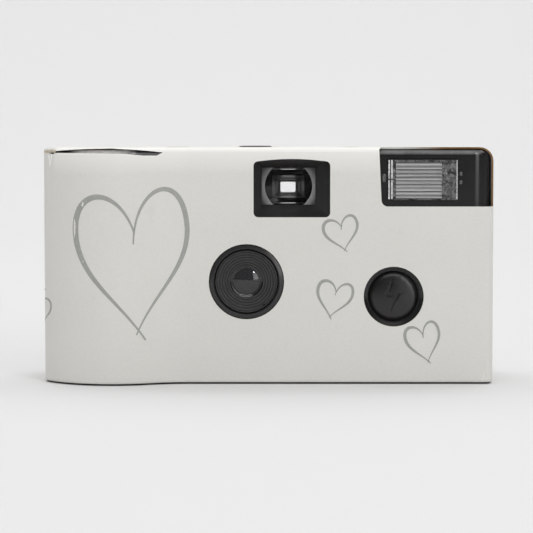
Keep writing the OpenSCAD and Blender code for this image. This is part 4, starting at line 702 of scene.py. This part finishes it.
def on_back(x, z, lift=0.03):
    hit = SKIN.ray_cast(Vector((x * MM, 0.05, z * MM)), Vector((0, -1, 0)))
    return Vector((x * MM, hit[0].y + lift * MM, z * MM))


def on_left(y, z, lift=0.03):
    hit = SKIN.ray_cast(Vector((-0.1, y * MM, z * MM)), Vector((1, 0, 0)))
    return Vector((hit[0].x - lift * MM, y * MM, z * MM))


def on_right(y, z, lift=0.03):
    hit = SKIN.ray_cast(Vector((0.1, y * MM, z * MM)), Vector((-1, 0, 0)))
    return Vector((hit[0].x + lift * MM, y * MM, z * MM))


def slit_lip():
    """The rolled top edge of the front panel under the slit."""
    bm = bmesh.new()
    rows = []
    for k in range(49):
        x = -56.4 + 0.5 * k
        z = 60.1 - 0.25 * (x + 55.9) / 27
        h = 0.44 * min(1, (x + 56.6) / 1.6) * min(1, max(0, (-32.2 - x) / 5))
        y = on_front(x, 59.5, 0.0).y / MM
        rows.append([bm.verts.new((x * MM, (y + d) * MM, (z + u) * MM))
                     for d, u in ((-0.01, -0.3), (0.0, h * 0.6), (0.1, h), (0.5, h * 1.05), (0.52, -0.3))])
    for a, b in zip(rows, rows[1:]):
        for i in range(4):
            bm.faces.new((a[i], b[i], b[i + 1], a[i + 1]))
    mesh = finished(bm, "slit_lip")
    soften(mesh, 60)
    piece("slit_lip", mesh, CARD, "camera")


def slit_tear():
    """Torn fibres of raw card at the left end of the slit."""
    bm = bmesh.new()
    def at(x, z, lift):
        inset = 1.2 - math.sqrt(max(0.0, 1.44 - max(0.0, z - 60.8) ** 2))
        return bm.verts.new((x * MM, on_front(x, 59.5, 0.0).y + (inset - lift) * MM, z * MM))
    for k in range(22):
        x = -58.5 + 0.14 * k
        z = 60.78 + 0.16 * math.sin(k * 2.3) + 0.009 * k
        lean = 0.24 * math.sin(k * 5.1)
        w, h = 0.2 + 0.07 * math.sin(k * 3.7), 0.28 + 0.14 * math.sin(k * 1.9)
        lift = 0.05 + 0.07 * (k % 3)
        a, b = at(x - w, z - h, 0.02), at(x + w, z - h * 0.8, 0.03)
        c, d = at(x + w * 0.6 + lean, z + h, lift + 0.05), at(x - w * 0.8 + lean, z + h * 0.9, lift)
        bm.faces.new((a, b, c, d))
    mesh = finished(bm, "slit_tear")
    piece("slit_tear", mesh, TORN, "camera")


def crease(name, folds, width):
    """Sharp creases in the card, each from a point to a point and narrowing on the way, in a paler card that
    paints their highlight.
    """
    bm = bmesh.new()
    for x0, z0, x1, z1 in folds:
        rows = []
        for k in range(9):
            t = k / 8
            x, z = x0 + (x1 - x0) * t, z0 + (z1 - z0) * t
            w = width * (1 - 0.6 * t)
            rows.append([bm.verts.new(on_front(x + u * w, z, lift))
                         for u, lift in ((-1, 0.0), (-0.2, 0.12), (1, 0.01))])
        for a, b in zip(rows, rows[1:]):
            for i in range(2):
                bm.faces.new((a[i], a[i + 1], b[i + 1], b[i]))
    mesh = finished(bm, name)
    piece(name, mesh, CREASE_HIGHLIGHT, "camera")


slit_lip()
slit_tear()
crease("slit_crease", ((-57.35, 60.0, -57.0, 56.9), (-56.5, 60.0, -56.95, 56.9)), 0.17)
crease("corner_crease", ((56.0, 0.9, 56.9, 3.4), (56.1, 0.9, 57.9, 1.7), (55.4, 0.75, 56.4, 1.0)), 0.14)
crease("grip_nick", ((-48.3, 0.75, -46.9, 1.0), (-50.5, 0.7, -48.8, 0.8)), 0.13)


def bezier(a, b, c, d, n=26):
    pts = []
    for i in range(n + 1):
        t = i / n
        u = 1 - t
        pts.append((u ** 3 * a[0] + 3 * u * u * t * b[0] + 3 * u * t * t * c[0] + t ** 3 * d[0],
                    u ** 3 * a[1] + 3 * u * u * t * b[1] + 3 * u * t * t * c[1] + t ** 3 * d[1]))
    return pts


def stroke(bm, place, pts, w0, w1, peak=0.5):
    """A pen stroke along points on the card, thin at its ends and widest at the peak."""
    rows = []
    n = len(pts) - 1
    for i, (x, z) in enumerate(pts):
        a, b = pts[max(i - 1, 0)], pts[min(i + 1, n)]
        dx, dz = b[0] - a[0], b[1] - a[1]
        q = math.hypot(dx, dz) or 1
        t = i / n
        s = t / peak if t < peak else (1 - t) / (1 - peak)
        w = (w0 + (w1 - w0) * math.sin(s * math.pi / 2) ** 1.3) / 2
        rows.append((bm.verts.new(place(x - dz / q * w, z + dx / q * w)),
                     bm.verts.new(place(x + dz / q * w, z - dx / q * w))))
    for (a, b), (c, d) in zip(rows, rows[1:]):
        bm.faces.new((a, b, d, c))


def heart(name, place, x, z, width, height, tilt, pen):
    """A plain heart of two pen strokes that meet in the dip and cross just above the tip."""
    ca, sa = math.cos(math.radians(tilt)), math.sin(math.radians(tilt))
    w, h = width / 2, height / 2
    def at(u, v):
        return (x + u * w * ca - v * h * sa, z + u * w * sa + v * h * ca)
    bm = bmesh.new()
    left = bezier(at(0.06, 0.42), at(-0.14, 1.12), at(-1.06, 1.12), at(-0.99, 0.38), 34)
    left += bezier(at(-0.99, 0.38), at(-0.93, -0.14), at(-0.34, -0.42), at(0.05, -0.98), 34)[1:]
    right = bezier(at(0.02, 0.28), at(0.14, 1.06), at(1.04, 1.22), at(1.0, 0.42), 34)
    right += bezier(at(1.0, 0.42), at(0.95, -0.12), at(0.3, -0.36), at(-0.1, -0.9), 34)[1:]
    stroke(bm, place, left, pen * 0.3, pen, 0.36)
    stroke(bm, place, right, pen * 0.25, pen * 0.85, 0.42)
    mesh = finished(bm, name)
    piece(name, mesh, PRINT, "camera")


heart("print_heart_grip", on_front, -34.6, 31.3, 29.0, 40.0, 6, 1.55)
heart("print_heart_upper", on_front, 19.4, 39.2, 9.0, 9.4, 14, 0.85)
heart("print_heart_middle", on_front, 17.2, 22.0, 9.2, 10.2, -10, 0.85)
heart("print_heart_lower", on_front, 41.0, 10.6, 9.0, 11.0, 16, 0.85)
heart("print_heart_left", on_left, -6.0, 18.6, 8.6, 8.8, 12, 0.6)
heart("print_heart_right", on_right, 3.0, 40.0, 9.0, 10.0, -12, 0.85)
heart("print_heart_back_a", on_back, 36.0, 32.0, 20.0, 27.0, -8, 1.15)
heart("print_heart_back_b", on_back, 6.0, 33.0, 9.0, 10.0, 12, 0.85)
heart("print_heart_back_c", on_back, -10.0, 22.5, 9.0, 10.0, -14, 0.85)
heart("print_heart_back_d", on_back, -44.0, 26.0, 9.5, 11.0, 10, 0.85)


def wind_arrow():
    """A plain printed arrow under the thumb wheel."""
    bm = bmesh.new()
    stroke(bm, on_back, [(-34.0 - 0.6 * k, 41.6) for k in range(21)], 0.7, 0.7)
    stroke(bm, on_back, [(-44.0 - 0.24 * k, 43.1 - 0.15 * k) for k in range(11)], 0.7, 0.7)
    stroke(bm, on_back, [(-44.0 - 0.24 * k, 40.1 + 0.15 * k) for k in range(11)], 0.7, 0.7)
    mesh = finished(bm, "print_wind_arrow")
    piece("print_wind_arrow", mesh, PRINT, "camera")


wind_arrow()


# Plain digits on a grid 2 wide and 4 high
DIGITS = {
    "0": ((0, 1), (0, 3), (0.5, 4), (1.5, 4), (2, 3), (2, 1), (1.5, 0), (0.5, 0), (0, 1)),
    "1": ((0.4, 3.2), (1.2, 4), (1.2, 0)),
    "2": ((0, 3), (0.5, 4), (1.5, 4), (2, 3), (2, 2.4), (0, 0), (2, 0)),
    "4": ((1.5, 0), (1.5, 4), (0, 1.2), (2, 1.2)),
    "6": ((1.7, 4), (0.5, 2.6), (0, 1), (0.5, 0), (1.5, 0), (2, 1), (1.5, 2), (0.3, 2)),
    "8": ((1, 2.1), (0.2, 3), (0.6, 4), (1.4, 4), (1.8, 3), (0, 1), (0.5, 0), (1.5, 0), (2, 1), (1, 2.1)),
}


def counter_scale():
    """Printed frame numbers and dots round the counter dial, read from behind the camera."""
    lo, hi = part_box("counter_dial")
    cx, cy, z = (lo.x + hi.x) / 2 / MM, (lo.y + hi.y) / 2 / MM, hi.z + 0.02 * MM
    bm = bmesh.new()
    for count in range(27):
        turn = 2 * math.pi * count / 27
        ca, sa = math.cos(turn), math.sin(turn)
        def on_dial(r, t):
            u, v = -r, -t
            return Vector(((cx + u * ca - v * sa) * MM, (cy + u * sa + v * ca) * MM, z))
        if count % 2:
            stroke(bm, on_dial, [(5.5 + 0.1 * k, 0.0) for k in range(4)], 0.3, 0.3)
            continue
        for place, digit in enumerate(reversed(str(count))):
            pts = [(4.85 + place * 1.05 + (2 - a) * 0.36, (b - 2) * 0.4) for a, b in DIGITS[digit]]
            for p, q in zip(pts, pts[1:]):
                stroke(bm, on_dial, [p, q], 0.22, 0.22)
    mesh = finished(bm, "counter_scale")
    piece("counter_scale", mesh, MATT, "counter")


counter_scale()


# Floor, light and camera

def stage_mesh(name, verts, faces):
    mesh = bpy.data.meshes.new(name)
    mesh.from_pydata(verts, [], faces)
    for p in mesh.polygons:
        p.use_smooth = True
    o = bpy.data.objects.new(name, mesh)
    bpy.context.scene.collection.objects.link(o)
    return o


profile = [(-2.0, 0.0), (0.6, 0.0)]
BEND = 0.6
profile += [(BEND + BEND * math.sin(math.radians(a)), BEND - BEND * math.cos(math.radians(a)))
            for a in range(6, 91, 6)]
profile += [(1.2, 2.2)]
verts, faces = [], []
for y, z in profile:
    verts += [(-2.5, y, z), (2.5, y, z)]
for i in range(len(profile) - 1):
    faces.append((2 * i, 2 * i + 1, 2 * i + 3, 2 * i + 2))
floor = stage_mesh("floor_sweep", verts, faces)
floor_material = bpy.data.materials.new("floor_pale")
floor_material.use_nodes = True
floor_shader = floor_material.node_tree.nodes["Principled BSDF"]
floor_shader.inputs["Base Color"].default_value = (0.72, 0.72, 0.72, 1)
floor_shader.inputs["Roughness"].default_value = 0.9
floor_shader.inputs["Specular IOR Level"].default_value = 0.05
floor_shader.inputs["Emission Color"].default_value = (1, 1, 1, 1)
floor_shader.inputs["Emission Strength"].default_value = 0.02
floor.data.materials.append(floor_material)

world = bpy.data.worlds.new("studio")
bpy.context.scene.world = world
world.use_nodes = True
world.node_tree.nodes["Background"].inputs["Color"].default_value = (1, 1, 1, 1)
world.node_tree.nodes["Background"].inputs["Strength"].default_value = 0.1


def area(name, where, aim, size, power):
    d = bpy.data.lights.new(name, "AREA")
    d.shape = "RECTANGLE"
    d.size, d.size_y = size
    d.energy = power
    o = bpy.data.objects.new(name, d)
    bpy.context.scene.collection.objects.link(o)
    o.location = where
    o.rotation_mode = "QUATERNION"
    o.rotation_quaternion = (Vector(aim) - Vector(where)).to_track_quat("-Z", "Y")
    return o


MIDDLE = (0, 0, 0.03)
area("top_box", (0.15, 0.3915, 1.2), (0.15, 0.3915, 0.0), (2.6, 1.657), 17.2)
area("front_high", (0.05, -0.73, 0.95), MIDDLE, (0.9, 0.2), 2.9)
area("key_right", (0.62, -0.92, 0.4), MIDDLE, (0.4, 0.78), 3.3)
area("key_spark", (0.5, -0.98, 0.56), MIDDLE, (0.11, 0.11), 0.75)
area("fill_left", (-0.8, -0.8, 0.42), MIDDLE, (0.6, 0.7), 1.7).visible_glossy = False
area("rim_left", (-0.9, 0.3, 0.4), MIDDLE, (0.6, 0.6), 1.0)
area("back_wash", (0, 0.5, 1.6), (0, 1.3, 0.2), (2.4, 0.5), 5)

cam_data = bpy.data.cameras.new("camera")
cam = bpy.data.objects.new("camera", cam_data)
bpy.context.scene.collection.objects.link(cam)
bpy.context.scene.camera = cam
DIST, ELEV = 0.56, math.radians(3.8)
aim = Vector((-0.36 * MM, FLAT, 30.9 * MM))
PX_PER_MM, PHOTO_PX, SENSOR = 3.829, 533, 36
cam_data.sensor_width = SENSOR
cam_data.lens = PX_PER_MM * DIST * 1000 / PHOTO_PX * SENSOR
cam.location = aim + Vector((0, -math.cos(ELEV), math.sin(ELEV))) * DIST
cam.rotation_mode = "QUATERNION"
cam.rotation_quaternion = (aim - cam.location).to_track_quat("-Z", "Y")
cam_data.clip_start, cam_data.clip_end = 0.01, 20
bpy.context.scene.view_settings.view_transform = "Standard"
